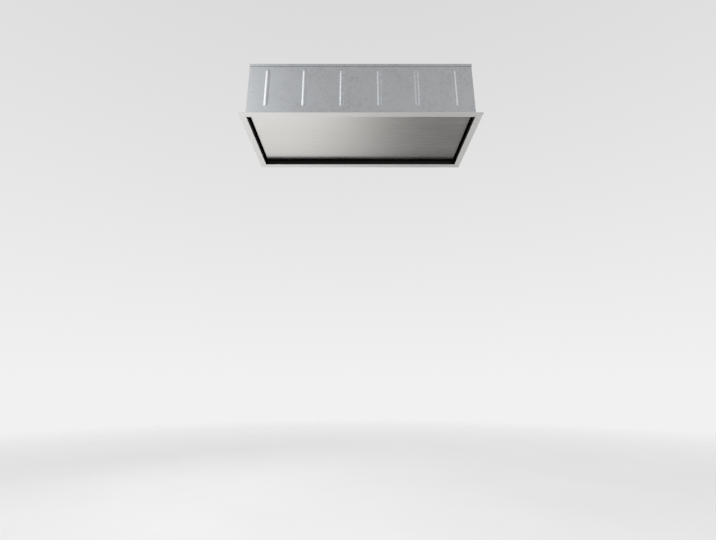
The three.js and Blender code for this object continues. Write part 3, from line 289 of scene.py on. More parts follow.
def moulded(name, color, roughness, grain=900.0, depth=0.03, metallic=0.0, **sockets):
    """A cast, painted or moulded surface: a fine texture, a soft mottle and uneven gloss."""
    material, tree, shader = start_material(name, roughness, metallic, **sockets)
    fine = noise(tree, place(tree), grain, 3, 0.6)
    mottle = noise(tree, place(tree), 14, 3, 0.6)
    color_in = tones(tree, mottle, shade(color, 0.88), shade(color, 1.12))
    rough = between(tree, mottle, roughness - 0.05, roughness + 0.06)
    surface(tree, shader, color_in, rough, bump(tree, fine, depth, 0.6))
    return material


def plated(name, color, roughness, grain):
    """Zinc-plated or mill-finished metal, whose fine lay is stretched by the grain."""
    material, tree, shader = start_material(name, roughness, 1)
    lay = noise(tree, place(tree, grain), 1, 3, 0.6)
    mottle = noise(tree, place(tree), 30, 3, 0.6)
    color_in = tones(tree, mottle, shade(color, 0.94), shade(color, 1.05))
    rough = between(tree, lay, roughness - 0.06, roughness + 0.06)
    surface(tree, shader, color_in, rough, bump(tree, lay, 0.015, 0.4))
    return material


def laminate(name, color):
    """Circuit board lacquer over copper tracks."""
    material, tree, shader = start_material(name, 0.35, 0, Coat_Weight=0.4)
    tracks = add(
        tree,
        "TexBrick",
        {"Vector": place(tree), "Scale": 55, "Mortar Size": 0.03, "Brick Width": 0.9},
        offset=0.37,
    ).outputs["Fac"]
    color_in = tones(tree, tracks, color, (0.10, 0.34, 0.14), 0.4, 0.6)
    rough = between(tree, noise(tree, place(tree), 60, 2), 0.28, 0.42)
    surface(tree, shader, color_in, rough, bump(tree, tracks, 0.05, 0.5))
    return material


FINISHES = {
    "frame_steel": brushed("frame_steel", (0.84, 0.835, 0.82), 0.45, 0.2, 0.03),
    "panel_steel": brushed("panel_steel", (0.66, 0.65, 0.63), 0.27, 0.5, 0.06),
    "seal_rubber": moulded("seal_rubber", (0.02, 0.02, 0.021), 0.9, 1800, 0.12),
    "casing_sheet": galvanised("casing_sheet", (0.5, 0.515, 0.53)),
    # Near-black collar. This is the collar's own black paint, made darker than paint and given
    # weak specular so that it also stands in for the deep shade in the slot round the panel
    # (painted shade).
    "collar_paint": moulded(
        "collar_paint", (0.006, 0.006, 0.0065), 0.3, 700, 0.02, Specular_IOR_Level=0.25
    ),
    "bracket_paint": moulded("bracket_paint", (0.014, 0.014, 0.015), 0.4, 1100, 0.04),
    "zinc_hardware": plated("zinc_hardware", (0.52, 0.53, 0.51), 0.36, (120, 120, 900)),
    "latch_plastic": moulded("latch_plastic", (0.022, 0.023, 0.025), 0.5),
    "plunger_plastic": moulded("plunger_plastic", (0.33, 0.34, 0.35), 0.45, 1500, 0.02),
    "tray_sheet": galvanised("tray_sheet", (0.48, 0.495, 0.51)),
    "filter_channel": plated("filter_channel", (0.76, 0.77, 0.78), 0.34, (900, 30, 900)),
    "filter_pleats": plated("filter_pleats", (0.82, 0.83, 0.84), 0.38, (500, 500, 500)),
    "magnet_shell": moulded("magnet_shell", (0.03, 0.03, 0.032), 0.45),
    "scroll_plastic": moulded("scroll_plastic", (0.16, 0.17, 0.18), 0.5, 700, 0.04),
    "inlet_plastic": moulded("inlet_plastic", (0.03, 0.031, 0.033), 0.42),
    "impeller_plastic": moulded("impeller_plastic", (0.025, 0.026, 0.028), 0.45),
    "motor_casting": moulded("motor_casting", (0.5, 0.51, 0.52), 0.48, 900, 0.08, 1.0),
    "gasket_rubber": moulded("gasket_rubber", (0.018, 0.018, 0.019), 0.88, 1800, 0.12),
    "spigot_sheet": galvanised("spigot_sheet", (0.6, 0.61, 0.62)),
    "flap_plastic": moulded("flap_plastic", (0.03, 0.031, 0.034), 0.4),
    "box_plastic": moulded("box_plastic", (0.028, 0.029, 0.031), 0.5, 800, 0.05),
    "board_laminate": laminate("board_laminate", (0.02, 0.15, 0.06)),
    "gland_plastic": moulded("gland_plastic", (0.34, 0.35, 0.36), 0.45, 1500, 0.02),
    "lead_rubber": moulded("lead_rubber", (0.02, 0.02, 0.02), 0.62, 1500, 0.04),
}
SLOT_OF = {part["node"]: part["material_slot"] for part in frame["record"]["subparts"]}

# ---------- mesh helpers ----------


def piece(name, bm, slot, body="root", replaces=(), sharp=SHARP):
    """A mesh object from a bmesh in the row frame, with its finish, body and slot."""
    mesh = bpy.data.meshes.new(name)
    bm.to_mesh(mesh)
    bm.free()
    mesh.shade_smooth()
    mesh.set_sharp_from_angle(angle=math.radians(sharp))
    mesh.materials.append(FINISHES[slot])
    made = bpy.data.objects.new(name, mesh)
    bpy.context.scene.collection.objects.link(made)
    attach(made, body)
    if replaces:
        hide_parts(*replaces)
    return made


def soften(made, width, segments=2):
    """Rounds the sharp edges by a width in mm."""
    bevel = made.modifiers.new("rounded", "BEVEL")
    bevel.width = width * MM
    bevel.segments = segments
    bevel.limit_method = "ANGLE"
    bevel.angle_limit = math.radians(ROUNDED)
    bevel.harden_normals = True


def evened(made):
    """Shades large flat faces flat beside narrow sloping ones."""
    made.modifiers.new("evened", "WEIGHTED_NORMAL").keep_sharp = True


def welded_copy(node):
    """The node's mesh as one skin, with its flat faces joined up."""
    bm = bmesh.new()
    bm.from_mesh(frame["nodes"][node].data)
    bmesh.ops.remove_doubles(bm, verts=bm.verts, dist=WELD_GAP)
    bmesh.ops.dissolve_limit(
        bm,
        angle_limit=math.radians(FLAT),
        verts=bm.verts,
        edges=bm.edges,
        use_dissolve_boundaries=False,
    )
    return bm


def dressed(node, width):
    """The node with edges rounded by a width in mm, smooth round faces and its finish."""
    body = frame["nodes"][node]["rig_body"]
    soften(piece(f"{node}_finished", welded_copy(node), SLOT_OF[node], body, [node]), width)


def grain_uv(bm, direction_of):
    """A UV map in metres whose u runs along the grain that direction_of gives for a face."""
    layer = bm.loops.layers.uv.new("grain")
    for face in bm.faces:
        along = direction_of(face)
        if abs(face.normal.dot(along)) > END_ON:
            along = Y if abs(face.normal.x) > END_ON else X
        across = face.normal.cross(along)
        for loop in face.loops:
            loop[layer].uv = (loop.vert.co.dot(along), loop.vert.co.dot(across))


def corners_mm(node):
    """The node's lowest and highest corner in mm."""
    low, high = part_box(node)
    return low / MM, high / MM


def spaced(start, end, count):
    """As many numbers as the count says, evenly from start to end."""
    return [start + (end - start) * i / (count - 1) for i in range(count)]


def standing(where, out):
    """The matrix whose local Z is the direction out, at a place in metres."""
    return Matrix.Translation(where) @ Z.rotation_difference(Vector(out)).to_matrix().to_4x4()


def circle(bm, matrix, radius, height, sides):
    """A ring of vertices about the local Z, or a single one where the radius is 0."""
    if radius == 0:
        return [bm.verts.new(matrix @ Vector((0, 0, height * MM)))]
    angles = [2 * math.pi * i / sides for i in range(sides)]
    points = [Vector((math.cos(a) * radius, math.sin(a) * radius, height)) for a in angles]
    return [bm.verts.new(matrix @ (point * MM)) for point in points]


def band(bm, one, two):
    """Joins two rings, which have the same number of vertices, by four-sided faces."""
    for i in range(len(one)):
        j = (i + 1) % len(one)
        bm.faces.new((one[i], one[j], two[j], two[i]))


def turned(bm, profile, where, out, sides=20):
    """Turns a profile of (radius, height) pairs, top to foot, about the direction out."""
    matrix = standing(where, out)
    rings = [circle(bm, matrix, radius, height, sides) for radius, height in profile]
    for upper, lower in zip(rings, rings[1:]):
        for i in range(sides):
            j = (i + 1) % sides
            if len(upper) == 1:
                bm.faces.new((upper[0], lower[i], lower[j]))
            elif len(lower) == 1:
                bm.faces.new((upper[i], lower[0], upper[j]))
            else:
                bm.faces.new((upper[i], lower[i], lower[j], upper[j]))
    if len(rings[-1]) > 1:
        bm.faces.new(reversed(rings[-1]))
    if len(rings[0]) > 1:
        bm.faces.new(rings[0])


def ring_surface(bm, profile, where, out, sides):
    """Turns a closed profile of (radius, height) pairs about the direction out."""
    matrix = standing(where, out)
    rings = [circle(bm, matrix, radius, height, sides) for radius, height in profile]
    for one, two in zip(rings, rings[1:] + rings[:1]):
        band(bm, one, two)


# ---------- fasteners ----------


def rivet(bm, where, out):
    profile = [(0, 0.5), (0.7, 0.5), (0.9, 0.95), (1.9, 0.8), (2.9, 0.35), (3.1, 0), (3.1, -0.2)]
    turned(bm, profile, where, out)


def small_rivet(bm, where, out):
    profile = [(0, 0.3), (0.45, 0.3), (0.6, 0.65), (1.3, 0.55), (1.9, 0.2), (2.0, 0), (2.0, -0.2)]
    turned(bm, profile, where, out, 16)


def hex_bolt(bm, where, out):
    washer = [(3.2, 1.1), (6.2, 1.1), (6.5, 0.8), (6.5, 0), (6.5, -0.2)]
    turned(bm, washer, where, out, 24)
    head = [(0, 5.3), (3.9, 5.3), (5.6, 4.7), (5.8, 4.4), (5.8, 1.1)]
    turned(bm, head, where, out, 6)


def hex_nut(bm, where, out):
    washer = [(2.2, 0.8), (4.4, 0.8), (4.6, 0.5), (4.6, 0), (4.6, -0.2)]
    turned(bm, washer, where, out, 20)
    nut = [(2.0, 3.9), (3.4, 3.9), (4.0, 3.4), (4.0, 0.8)]
    turned(bm, nut, where, out, 6)
    thread = [(0, 5.6), (1.5, 5.6), (1.9, 5.2), (1.9, 0.8)]
    turned(bm, thread, where, out, 14)


def socket_screw(bm, where, out):
    """A pan head with a socket."""
    head = [(1.1, 0.6), (1.1, 1.9), (2.0, 1.85), (3.0, 1.45), (3.6, 0.7), (3.7, 0), (3.7, -0.2)]
    turned(bm, head, where, out, 24)


def spot_weld(bm, where, out):
    profile = [(0, 0.02), (1.6, 0.05), (2.2, 0.22), (2.8, 0.2), (3.1, 0.0), (3.1, -0.1)]
    turned(bm, profile, where, out)


def fasteners(name, kind, places, body="root"):
    """Many of one kind of fastener, each at a place in mm with its outward direction."""
    bm = bmesh.new()
    for where, out in places:
        kind(bm, Vector(where) * MM, out)
    bmesh.ops.recalc_face_normals(bm, faces=bm.faces)
    piece(name, bm, "zinc_hardware", body, sharp=SHARP_SMALL)


# ---------- frame and panel ----------
FRAME_EDGE, PANEL_EDGE = 0.45, 0.5  # rounding of their edges


def frame_piece():
    """The visible frame: four brushed strips, mitred and welded at the corners."""
    outer_low, outer_high = corners_mm("ceiling_frame")
    collar_high = corners_mm("air_collar")[1]
    inner_x, inner_y = collar_high.x - SHEET, collar_high.y - SHEET
    bm = bmesh.new()

    def ring(half_x, half_y, z):
        corners = ((-1, -1), (1, -1), (1, 1), (-1, 1))
        return [bm.verts.new(Vector((sx * half_x, sy * half_y, z)) * MM) for sx, sy in corners]

    outer_foot = ring(outer_high.x, outer_high.y, outer_low.z)
    outer_top = ring(outer_high.x, outer_high.y, outer_high.z)
    inner_foot = ring(inner_x, inner_y, outer_low.z)
    inner_top = ring(inner_x, inner_y, outer_high.z)
    for i in range(4):
        j = (i + 1) % 4
        bm.faces.new((outer_foot[j], outer_foot[i], inner_foot[i], inner_foot[j]))
        bm.faces.new((outer_top[i], outer_top[j], inner_top[j], inner_top[i]))
        bm.faces.new((outer_foot[i], outer_foot[j], outer_top[j], outer_top[i]))
        bm.faces.new((inner_foot[j], inner_foot[i], inner_top[i], inner_top[j]))
    bm.normal_update()

    def along_strip(face):
        """The long way of the strip that a face belongs to."""
        centre = face.calc_center_median() / MM
        share_x, share_y = abs(centre.x) / inner_x, abs(centre.y) / inner_y
        return Y if share_x > share_y else X

    grain_uv(bm, along_strip)
    soften(piece("frame_strips", bm, "frame_steel", "root", ["ceiling_frame"]), FRAME_EDGE, 3)


def panel_piece():
    """The folded panel, its grain along the hood."""
    bm = welded_copy("centre_panel")
    bm.normal_update()
    grain_uv(bm, lambda face: X)
    soften(piece("panel_tray", bm, "panel_steel", "panel", ["centre_panel"]), PANEL_EDGE, 3)


# ---------- filters ----------
STRAND_LENGTH = 7.9  # long way of one diamond
STRAND_PITCH = 5.0  # short way of one diamond
STRAND = 0.55  # half width of a strand
SWING_SHARE = 0.92  # of its swing, and at 1 the middles of two strands would touch
FACE_DROP, PLEAT_RISE = 0.2, 1.2  # from the foot down to the flat layer and up to the pleats


def strands(bm, low, high, height_of):
    """Expanded metal: zigzag strands that meet their neighbours at every diamond's corner.

    height_of gives the height of each step along a strand.
    """
    rows = round((high.y - low.y) / (STRAND_PITCH / 2))
    steps = round((high.x - low.x) / (STRAND_LENGTH / 2))
    section = [(-1.0, -0.5), (1.0, -0.5), (0.0, 0.8)]
    for row in range(1, rows):
        middle = low.y + (high.y - low.y) * row / rows
        rings = []
        for step in range(steps + 1):
            x = low.x + (high.x - low.x) * step / steps
            swing = STRAND_PITCH / 4 * (1 if (step + row) % 2 else -1) * SWING_SHARE
            z = height_of(step)
            rings.append(
                [
                    bm.verts.new(Vector((x, middle + swing + u * STRAND, z + v * STRAND)) * MM)
                    for u, v in section
                ]
            )
        count = len(section)
        for one, two in zip(rings, rings[1:]):
            for i in range(count):
                j = (i + 1) % count
                bm.faces.new((one[i], two[i], two[j], one[j]))
        bm.faces.new(rings[0])
        bm.faces.new(reversed(rings[-1]))


def filter_meshes():
    """Two layers of expanded aluminium in each filter: a pleated one on a flat one."""
    for name in ("left", "middle", "right"):
        node = f"filter_mesh_{name}"
        low, high = corners_mm(node)
        foot, top = low.z + STRAND, high.z - STRAND
        for layer, height_of in (
            ("face", lambda step: foot - FACE_DROP),
            ("pleats", lambda step: top if step % 2 else foot + PLEAT_RISE),
        ):
            bm = bmesh.new()
            strands(bm, low, high, height_of)
            replaced = [node] if layer == "face" else []
            piece(f"filter_{layer}_{name}", bm, "filter_pleats", f"filter_{name}", replaced)


# ---------- small parts made afresh ----------
LATCH_HALF_LENGTH = 13.0  # half of a latch body along the hood
LATCH_FACE_RIBS = (-7.5, -2.5, 2.5, 7.5)  # along X from the plunger's axis
LATCH_END_RIBS = (-2.0, 3.0)  # along Y from it
LATCH_COLLAR_PLAY = 0.6  # between a plunger and the collar round it
SPIGOT_FLANGE = 17.0  # from the spigot's wall out to its flange's rim
SPIGOT_BEAD = 1.6  # how far its bead stands out
SPIGOT_BEAD_DROP = 10.6  # from its mouth to the bead's middle
SPIGOT_SIDES = 128
GLAND_BORE = 4.5  # radius
GLAND_GAP = 0.2  # between the gland's nut and the control box
GLAND_RIBS = 12
GLAND_RIB_RADIUS, GLAND_RIB_REACH = 8.9, 11.2  # to their middle from the axis and the nut's foot


def tube(bm, path, radius, sides=20):
    """A bent bar through a list of points in mm, in the plane of constant Y."""
    points = [Vector(point) * MM for point in path]
    rings = []
    for i, point in enumerate(points):
        along = (points[min(i + 1, len(points) - 1)] - points[max(i - 1, 0)]).normalized()
        side = along.cross(Y).normalized()
        angles = [2 * math.pi * k / sides for k in range(sides)]
        rings.append(
            [
                bm.verts.new(point + (side * math.cos(a) + Y * math.sin(a)) * radius * MM)
                for a in angles
            ]
        )
    for one, two in zip(rings, rings[1:]):
        band(bm, one, two)
    bm.faces.new(reversed(rings[0]))
    bm.faces.new(rings[-1])


def filter_handles():
    """The bent bars, round and with their riveted feet."""
    radius, bend, foot = 2.6, 7.0, 5.5  # of the bar, of its bends and of its feet
    for name in ("left", "middle", "right"):
        node = f"filter_handle_{name}"
        low, high = corners_mm(node)
        centre, y = (low + high) / 2, (low.y + high.y) / 2
        half = high.x - centre.x - foot
        bar = low.z + radius
        quarter = [math.pi / 2 * i / 8 for i in range(9)]
        corner = [
            (half - bend * (1 - math.sin(a)), bar + bend * (1 - math.cos(a))) for a in quarter
        ]
        right = [(centre.x + x, y, z) for x, z in corner] + [(centre.x + half, y, high.z)]
        left = [(2 * centre.x - x, y, z) for x, y, z in reversed(right)]
        bm = bmesh.new()
        tube(bm, left + right, radius)
        flange = [(0, 1.5), (3.6, 1.5), (5.0, 1.3), (5.5, 0.8), (5.5, 0)]
        for side in (-1, 1):
            turned(bm, flange, Vector((centre.x + side * half, y, high.z)) * MM, -Z, 28)
        bmesh.ops.recalc_face_normals(bm, faces=bm.faces)
        piece(f"filter_bar_{name}", bm, "zinc_hardware", f"filter_{name}", [node])


def latch_plungers():
    """The round plungers, with a domed tip."""
    for name in ("left", "right"):
        node = f"latch_plunger_{name}"
        low, high = corners_mm(node)
        centre = (low + high) / 2
        height = high.z - low.z
        profile = [(0, height), (1.6, height - 0.1), (2.6, height - 0.5), (3.2, height - 1.3)]
        profile += [(4.8, height - 3.1), (5.0, height - 3.6), (5.0, 0.5), (4.6, 0), (0, 0)]
        bm = bmesh.new()
        turned(bm, profile, Vector((centre.x, centre.y, high.z)) * MM, -Z, 40)
        bmesh.ops.recalc_face_normals(bm, faces=bm.faces)
        piece(f"plunger_{name}", bm, "plunger_plastic", f"plunger_{name}", [node])


def latch_details():
    """Moulded ribs on the latch bodies and a collar round each plunger's hole."""
    for name in ("left", "right"):
        low, high = corners_mm(f"latch_housing_{name}")
        plunger_low, plunger_high = corners_mm(f"latch_plunger_{name}")
        axis = (plunger_low + plunger_high) / 2
        bore = (plunger_high.x - plunger_low.x) / 2 + LATCH_COLLAR_PLAY
        bm = bmesh.new()
        collar = [(bore, -0.2), (bore, 0.9), (bore + 0.3, 1.2), (bore + 1.3, 1.2)]
        collar += [(bore + 1.9, 0.2), (bore + 1.9, -0.2)]
        ring_surface(bm, collar, Vector((axis.x, axis.y, low.z)) * MM, -Z, 40)
        rib = [(0, -0.2), (0, 0.4), (0.3, 0.7)]
        middle, half = (low.z + high.z) / 2 - 1, (high.z - low.z) / 2 - 7
        places = [((axis.x + x, high.y, middle), Y) for x in LATCH_FACE_RIBS]
        places += [
            ((axis.x + side * LATCH_HALF_LENGTH, axis.y + y, middle), side * X)
            for side in (-1, 1)
            for y in LATCH_END_RIBS
        ]
        for where, out in places:
            matrix = facing(where, out, Z)
            stacked(bm, matrix, [rounded_outline(half - d, 0.9 - d, 0.85 - d, z) for d, z in rib])
        bmesh.ops.recalc_face_normals(bm, faces=bm.faces)
        evened(piece(f"latch_ribs_{name}", bm, "latch_plastic", sharp=SHARP_SMALL))


def spigot():
    """The duct collar: a turned flange, a smooth wall and a rolled bead near its mouth."""
    low, high = corners_mm("duct_spigot")
    centre, flange, tall = (low + high) / 2, (high.x - low.x) / 2, high.z - low.z
    out, skin = flange - SPIGOT_FLANGE, SHEET
    bore, middle = out - skin, tall - SPIGOT_BEAD_DROP
    swell = [(1 - abs(step) / 6, step) for step in range(-6, 7)]
    roll = [(SPIGOT_BEAD * (3 - 2 * s) * s * s, middle + step * 0.4) for s, step in swell]
    profile = [(flange - 0.3, 0), (flange, 0.3), (flange, skin - 0.3), (flange - 0.3, skin)]
    profile += [(out + 1.6, skin), (out + 0.5, skin + 0.5), (out, skin + 1.6)]
    profile += [(out + rise, z) for rise, z in roll] + [(out, tall - 0.3), (out - 0.3, tall)]
    profile += [(bore + 0.3, tall), (bore, tall - 0.3)]
    profile += [(bore + rise, z) for rise, z in reversed(roll)] + [(bore, 0)]
    bm = bmesh.new()
    ring_surface(bm, profile, Vector((centre.x, centre.y, low.z)) * MM, Z, SPIGOT_SIDES)
    bmesh.ops.recalc_face_normals(bm, faces=bm.faces)
    piece("spigot_collar", bm, "spigot_sheet", "root", ["duct_spigot"])


def gland():
    """The cable gland: a hexagonal nut, a ribbed dome nut and the open bore."""
    low, high = corners_mm("cable_gland")
    centre = (low + high) / 2
    wall = corners_mm("control_box")[0].x - GLAND_GAP
    reach = wall - low.x
    inner = high.x - wall
    bm = bmesh.new()
    where = Vector((wall, centre.y, centre.z)) * MM
    nut = [(9, 7), (11.2, 7), (12, 6.2), (12, 0.6), (11.4, 0), (9, 0)]
    turned(bm, nut, where, -X, 6)
    dome = [
        (GLAND_BORE, -inner),
        (GLAND_BORE, reach - 0.8),
        (GLAND_BORE + 0.8, reach),
        (6.6, reach),
        (8.3, reach - 1.6),
        (9, reach - 3.6),
        (9, 7),
        (9, -inner + 0.5),
        (8.5, -inner),
    ]
    ring_surface(bm, dome, where, -X, 40)
    rib = [(0, 2.9), (0.55, 2.6), (0.7, 1.8), (0.7, -2.6), (0, -2.9)]
    for i in range(GLAND_RIBS):
        angle = 2 * math.pi * i / GLAND_RIBS
        y = centre.y + math.cos(angle) * GLAND_RIB_RADIUS
        z = centre.z + math.sin(angle) * GLAND_RIB_RADIUS
        turned(bm, rib, Vector((wall - GLAND_RIB_REACH, y, z)) * MM, -X, 8)
    bmesh.ops.recalc_face_normals(bm, faces=bm.faces)
    piece("gland_body", bm, "gland_plastic", "root", ["cable_gland"])


# ---------- pressed beads and cover plates ----------
BEAD_HALF = 12.0  # half width of a stiffening bead
# Its section, as the share of its half width and the height there.
BEAD_RISE = [
    (1.0, -0.1),
    (0.93, 0.1),
    (0.76, 0.65),
    (0.55, 1.5),
    (0.34, 2.15),
    (0.16, 2.36),
    (0.04, 2.4),
]
BEAD_FOOT, BEAD_TOP = 60, 286  # the heights at which the beads of the walls end
WALL_BEADS = (-475, 475, 6)  # the first, the last and their number, along X
END_BEADS = (-140, 140)  # along Y
LID_BEADS = (-400, -145, 170, 290, 400)  # along X, clear of the spigot and the control box
LID_BEAD_LENGTH = 330
COVER_HALF = (92, 70)  # half of a cover's width and of its height
COVER_MIDDLE = 215  # the height of its middle
COVER_CORNER = 14.0
COVER_THICK = 1.1  # at its edge
COVER_RIVET_IN = 4.5  # from its edges


def stacked(bm, matrix, outlines):
    """Skins a stack of closed outlines, each a list of points in mm, and closes both ends."""
    rings = [[bm.verts.new(matrix @ (Vector(point) * MM)) for point in line] for line in outlines]
    for lower, upper in zip(rings, rings[1:]):
        band(bm, lower, upper)
    bm.faces.new(rings[-1])
    bm.faces.new(reversed(rings[0]))


def rounded_outline(half_x, half_y, radius, z, steps=6):
    """A rectangle with round corners, counted anticlockwise from +X."""
    points = []
    for turn, (sx, sy) in enumerate(((1, 1), (-1, 1), (-1, -1), (1, -1))):
        for i in range(steps + 1):
            angle = math.pi / 2 * (turn + i / steps)
            x = sx * (half_x - radius) + radius * math.cos(angle)
            y = sy * (half_y - radius) + radius * math.sin(angle)
            points.append((x, y, z))
    return points


def facing(where, out, along):
    """The matrix of a flat form at a place in mm: local Z is out and local X is along."""
    out, along = Vector(out), Vector(along)
    turn = Matrix((along, out.cross(along), out)).transposed().to_4x4()
    return Matrix.Translation(Vector(where) * MM) @ turn


def bead(bm, matrix, length):
    """A round-ended bead, pressed out of the sheet."""
    outlines = [
        rounded_outline(length / 2 - BEAD_HALF * (1 - r), BEAD_HALF * r, BEAD_HALF * r * 0.999, z)
        for r, z in BEAD_RISE
    ]
    stacked(bm, matrix, outlines)


def cover_plate(bm, matrix):
    """A cover with a raised field."""
    half_x, half_y = COVER_HALF
    steps = [(0, -0.2), (0, 0.8), (0.3, COVER_THICK), (5, COVER_THICK)]
    steps += [(6, 1.3), (8, 2.3), (9.2, 2.6)]
    outlines = [rounded_outline(half_x - d, half_y - d, COVER_CORNER - d, z) for d, z in steps]
    stacked(bm, matrix, outlines)


def pressed(name, form, places, along):
    """Many of one pressed form, each at a place in mm with its outward direction."""
    bm = bmesh.new()
    for where, out in places:
        form(bm, facing(where, out, along))
    bmesh.ops.recalc_face_normals(bm, faces=bm.faces)
    evened(piece(name, bm, "casing_sheet", sharp=SHARP_PRESSED))


def casing_beads():
    """The stiffening beads of the walls and of the lid."""
    corner = corners_mm("air_collar")[1] + Vector((CASING_OUT, CASING_OUT, 0))
    middle, length = (BEAD_FOOT + BEAD_TOP) / 2, BEAD_TOP - BEAD_FOOT
    walls = round_casing((spaced(*WALL_BEADS), END_BEADS), corner.x, corner.y, middle)
    pressed("wall_beads", lambda bm, matrix: bead(bm, matrix, length), walls, Z)
    lid = [((x, 0, corners_mm("casing_lid")[1].z), Z) for x in LID_BEADS]
    pressed("lid_beads", lambda bm, matrix: bead(bm, matrix, LID_BEAD_LENGTH), lid, Y)


def outlet_covers():
    """A blanked duct outlet in each end wall."""
    wall_x = corners_mm("air_collar")[1].x + CASING_OUT
    plates = [((side * wall_x, 0, COVER_MIDDLE), (side, 0, 0)) for side in (-1, 1)]
    pressed("outlet_covers", cover_plate, plates, Y)
    across, up = (half - COVER_RIVET_IN for half in COVER_HALF)
    corners = [
        ((side * (wall_x + COVER_THICK), sy * across, COVER_MIDDLE + sz * up), (side, 0, 0))
        for side in (-1, 1)
        for sy in (-1, 1)
        for sz in (-1, 1)
    ]
    fasteners("outlet_cover_rivets", small_rivet, corners)


# ---------- where the fasteners go ----------
# Round the casing: their places along X and along Y.
TRAY_RIVETS = (spaced(-380, 380, 5), (-80, 0, 80))
LID_SCREWS = (spaced(-520, 520, 7), (-140, 0, 140))
FRAME_NUTS = (spaced(-530, 530, 8), (-165, -55, 55, 165))
TRAY_RIVET_RISE = 7  # above the tray's foot
LID_SCREW_RISE = 8  # above the foot of the lid's rim
FRAME_NUT_OUT = 7  # from the casing's face
TAB_RIVET_IN = 8  # from the casing's corner
TAB_RIVET_FOOT, TAB_RIVET_TOP = 24, 34  # from a wall's foot and from its top
SPIGOT_RIVET_IN, SPIGOT_RIVETS = 7, 8  # from the rim of the spigot's flange, and their number
BLOWER_NUTS_X, BLOWER_NUTS_Y = (-92, 92), (-80, 80)
HANGER_BOLT_IN = 15  # from a hanger's outer end
HANGER_BOLT_STEP = 11  # to each side of its middle
HANGER_THICK = 2.5
BOX_SCREW_IN = 8  # from the edges of the control box's lid
BOX_FIELD_IN = 16  # from them to its raised field
BOX_EAR_IN, BOX_EAR_OUT = 26, 5.5  # a foot's middle, from the lid's end and from its side
BOX_EAR_SCREW = 7  # its screw, from that side
BOX_EAR_THICK, BOX_EAR_DROP = 2.6, 0.1  # the second is how far it starts below the box
PLATE_THICK = 2.0  # of the hinge brackets and of the latches' plates
HINGE_SCREW_IN, HINGE_SCREW_Z = 7.5, 79
LATCH_SCREW_IN, LATCH_SCREWS_Z = 7, (71, 91)
RIB_WELDS = 9  # in each of a rib's two rows
RIB_WELD_IN, RIB_WELD_SIDE = 20, 6  # from the rib's end and from its long edge
RIB_THICK, STRIKE_THICK, LUG_THICK = 1, 1.5, 1
STRIKE_WELD_IN, LUG_WELD_IN = 5, 7
FILTER_DEPTH = 300
FILTER_RIVET_IN = 7  # from a filter's edges
CLIP_ANGLES = (112, 146, 180, 214, 322, 352)  # degrees about the impeller's axis
CLIP_TOP = 2.2  # how far a clip stands out
SEAM_SCREW = 7.5  # from the scroll's seam to each screw of a clip
# On the motor's side: the node, and its screws' radius, number and turn in steps.
MOTOR_SCREWS = (("motor_bracket", 63, 6, 0.5), ("motor", 31, 4, 0.25))
FAR_MM = 400.0  # far enough to start a ray outside the hood's inner parts


def round_casing(along, face_x, face_y, z, up=False):
    """Places on all four sides of the casing at one height, which face out or up."""
    along_x, along_y = along
    places = [((x, s * face_y, z), Z if up else (0, s, 0)) for s in (-1, 1) for x in along_x]
    places += [((s * face_x, y, z), Z if up else (s, 0, 0)) for s in (-1, 1) for y in along_y]
    return places


def casing_fasteners():
    lid_low, lid_high = corners_mm("casing_lid")
    wall_low, wall_high = corners_mm("casing_back_wall")
    spigot_low, spigot_high = corners_mm("duct_spigot")
    collar_high = corners_mm("air_collar")[1]
    face_x, face_y = collar_high.x + CASING_OUT, collar_high.y + CASING_OUT
    tabs = [
        ((sx * wall_high.x, sy * (face_y - TAB_RIVET_IN), z), (sx, 0, 0))
        for sx in (-1, 1)
        for sy in (-1, 1)
        for z in spaced(wall_low.z + TAB_RIVET_FOOT, wall_high.z - TAB_RIVET_TOP, 5)
    ]
    fasteners("corner_rivets", rivet, tabs)
    tray_z = corners_mm("filter_tray")[0].z + TRAY_RIVET_RISE
    fasteners("tray_rivets", rivet, round_casing(TRAY_RIVETS, face_x, face_y, tray_z))
    rim_z = lid_low.z + LID_SCREW_RISE
    screws = round_casing(LID_SCREWS, lid_high.x, lid_high.y, rim_z)
    fasteners("lid_screws", socket_screw, screws)
    nut_x, nut_y = face_x + FRAME_NUT_OUT, face_y + FRAME_NUT_OUT
    studs = round_casing(FRAME_NUTS, nut_x, nut_y, wall_low.z + SHEET, up=True)
    fasteners("frame_nuts", hex_nut, studs)
    ring, top = spigot_high.x - SPIGOT_RIVET_IN, spigot_low.z + SHEET
    around = [2 * math.pi * (i + 0.5) / SPIGOT_RIVETS for i in range(SPIGOT_RIVETS)]
    rivets = [((ring * math.cos(a), ring * math.sin(a), top), Z) for a in around]
    fasteners("spigot_rivets", rivet, rivets)
    plate = [((x, y, lid_high.z), Z) for x in BLOWER_NUTS_X for y in BLOWER_NUTS_Y]
    fasteners("blower_nuts", hex_nut, plate)


def hanger_bolts():
    places = []
    for sx, end in ((-1, "left"), (1, "right")):
        for row in ("front", "back"):
            low, high = corners_mm(f"hanger_{row}_{end}")
            x = sx * (max(abs(low.x), abs(high.x)) - HANGER_BOLT_IN)
            middle = (low.y + high.y) / 2
            for step in (-HANGER_BOLT_STEP, HANGER_BOLT_STEP):
                places.append(((x, middle + step, low.z + HANGER_THICK), Z))
    fasteners("hanger_bolts", hex_bolt, places)


def box_screws():
    low, high = corners_mm("control_box_lid")
    places = [
        ((x, y, high.z), Z)
        for x in (low.x + BOX_SCREW_IN, high.x - BOX_SCREW_IN)
        for y in (low.y + BOX_SCREW_IN, high.y - BOX_SCREW_IN)
    ]
    fasteners("box_screws", socket_screw, places)


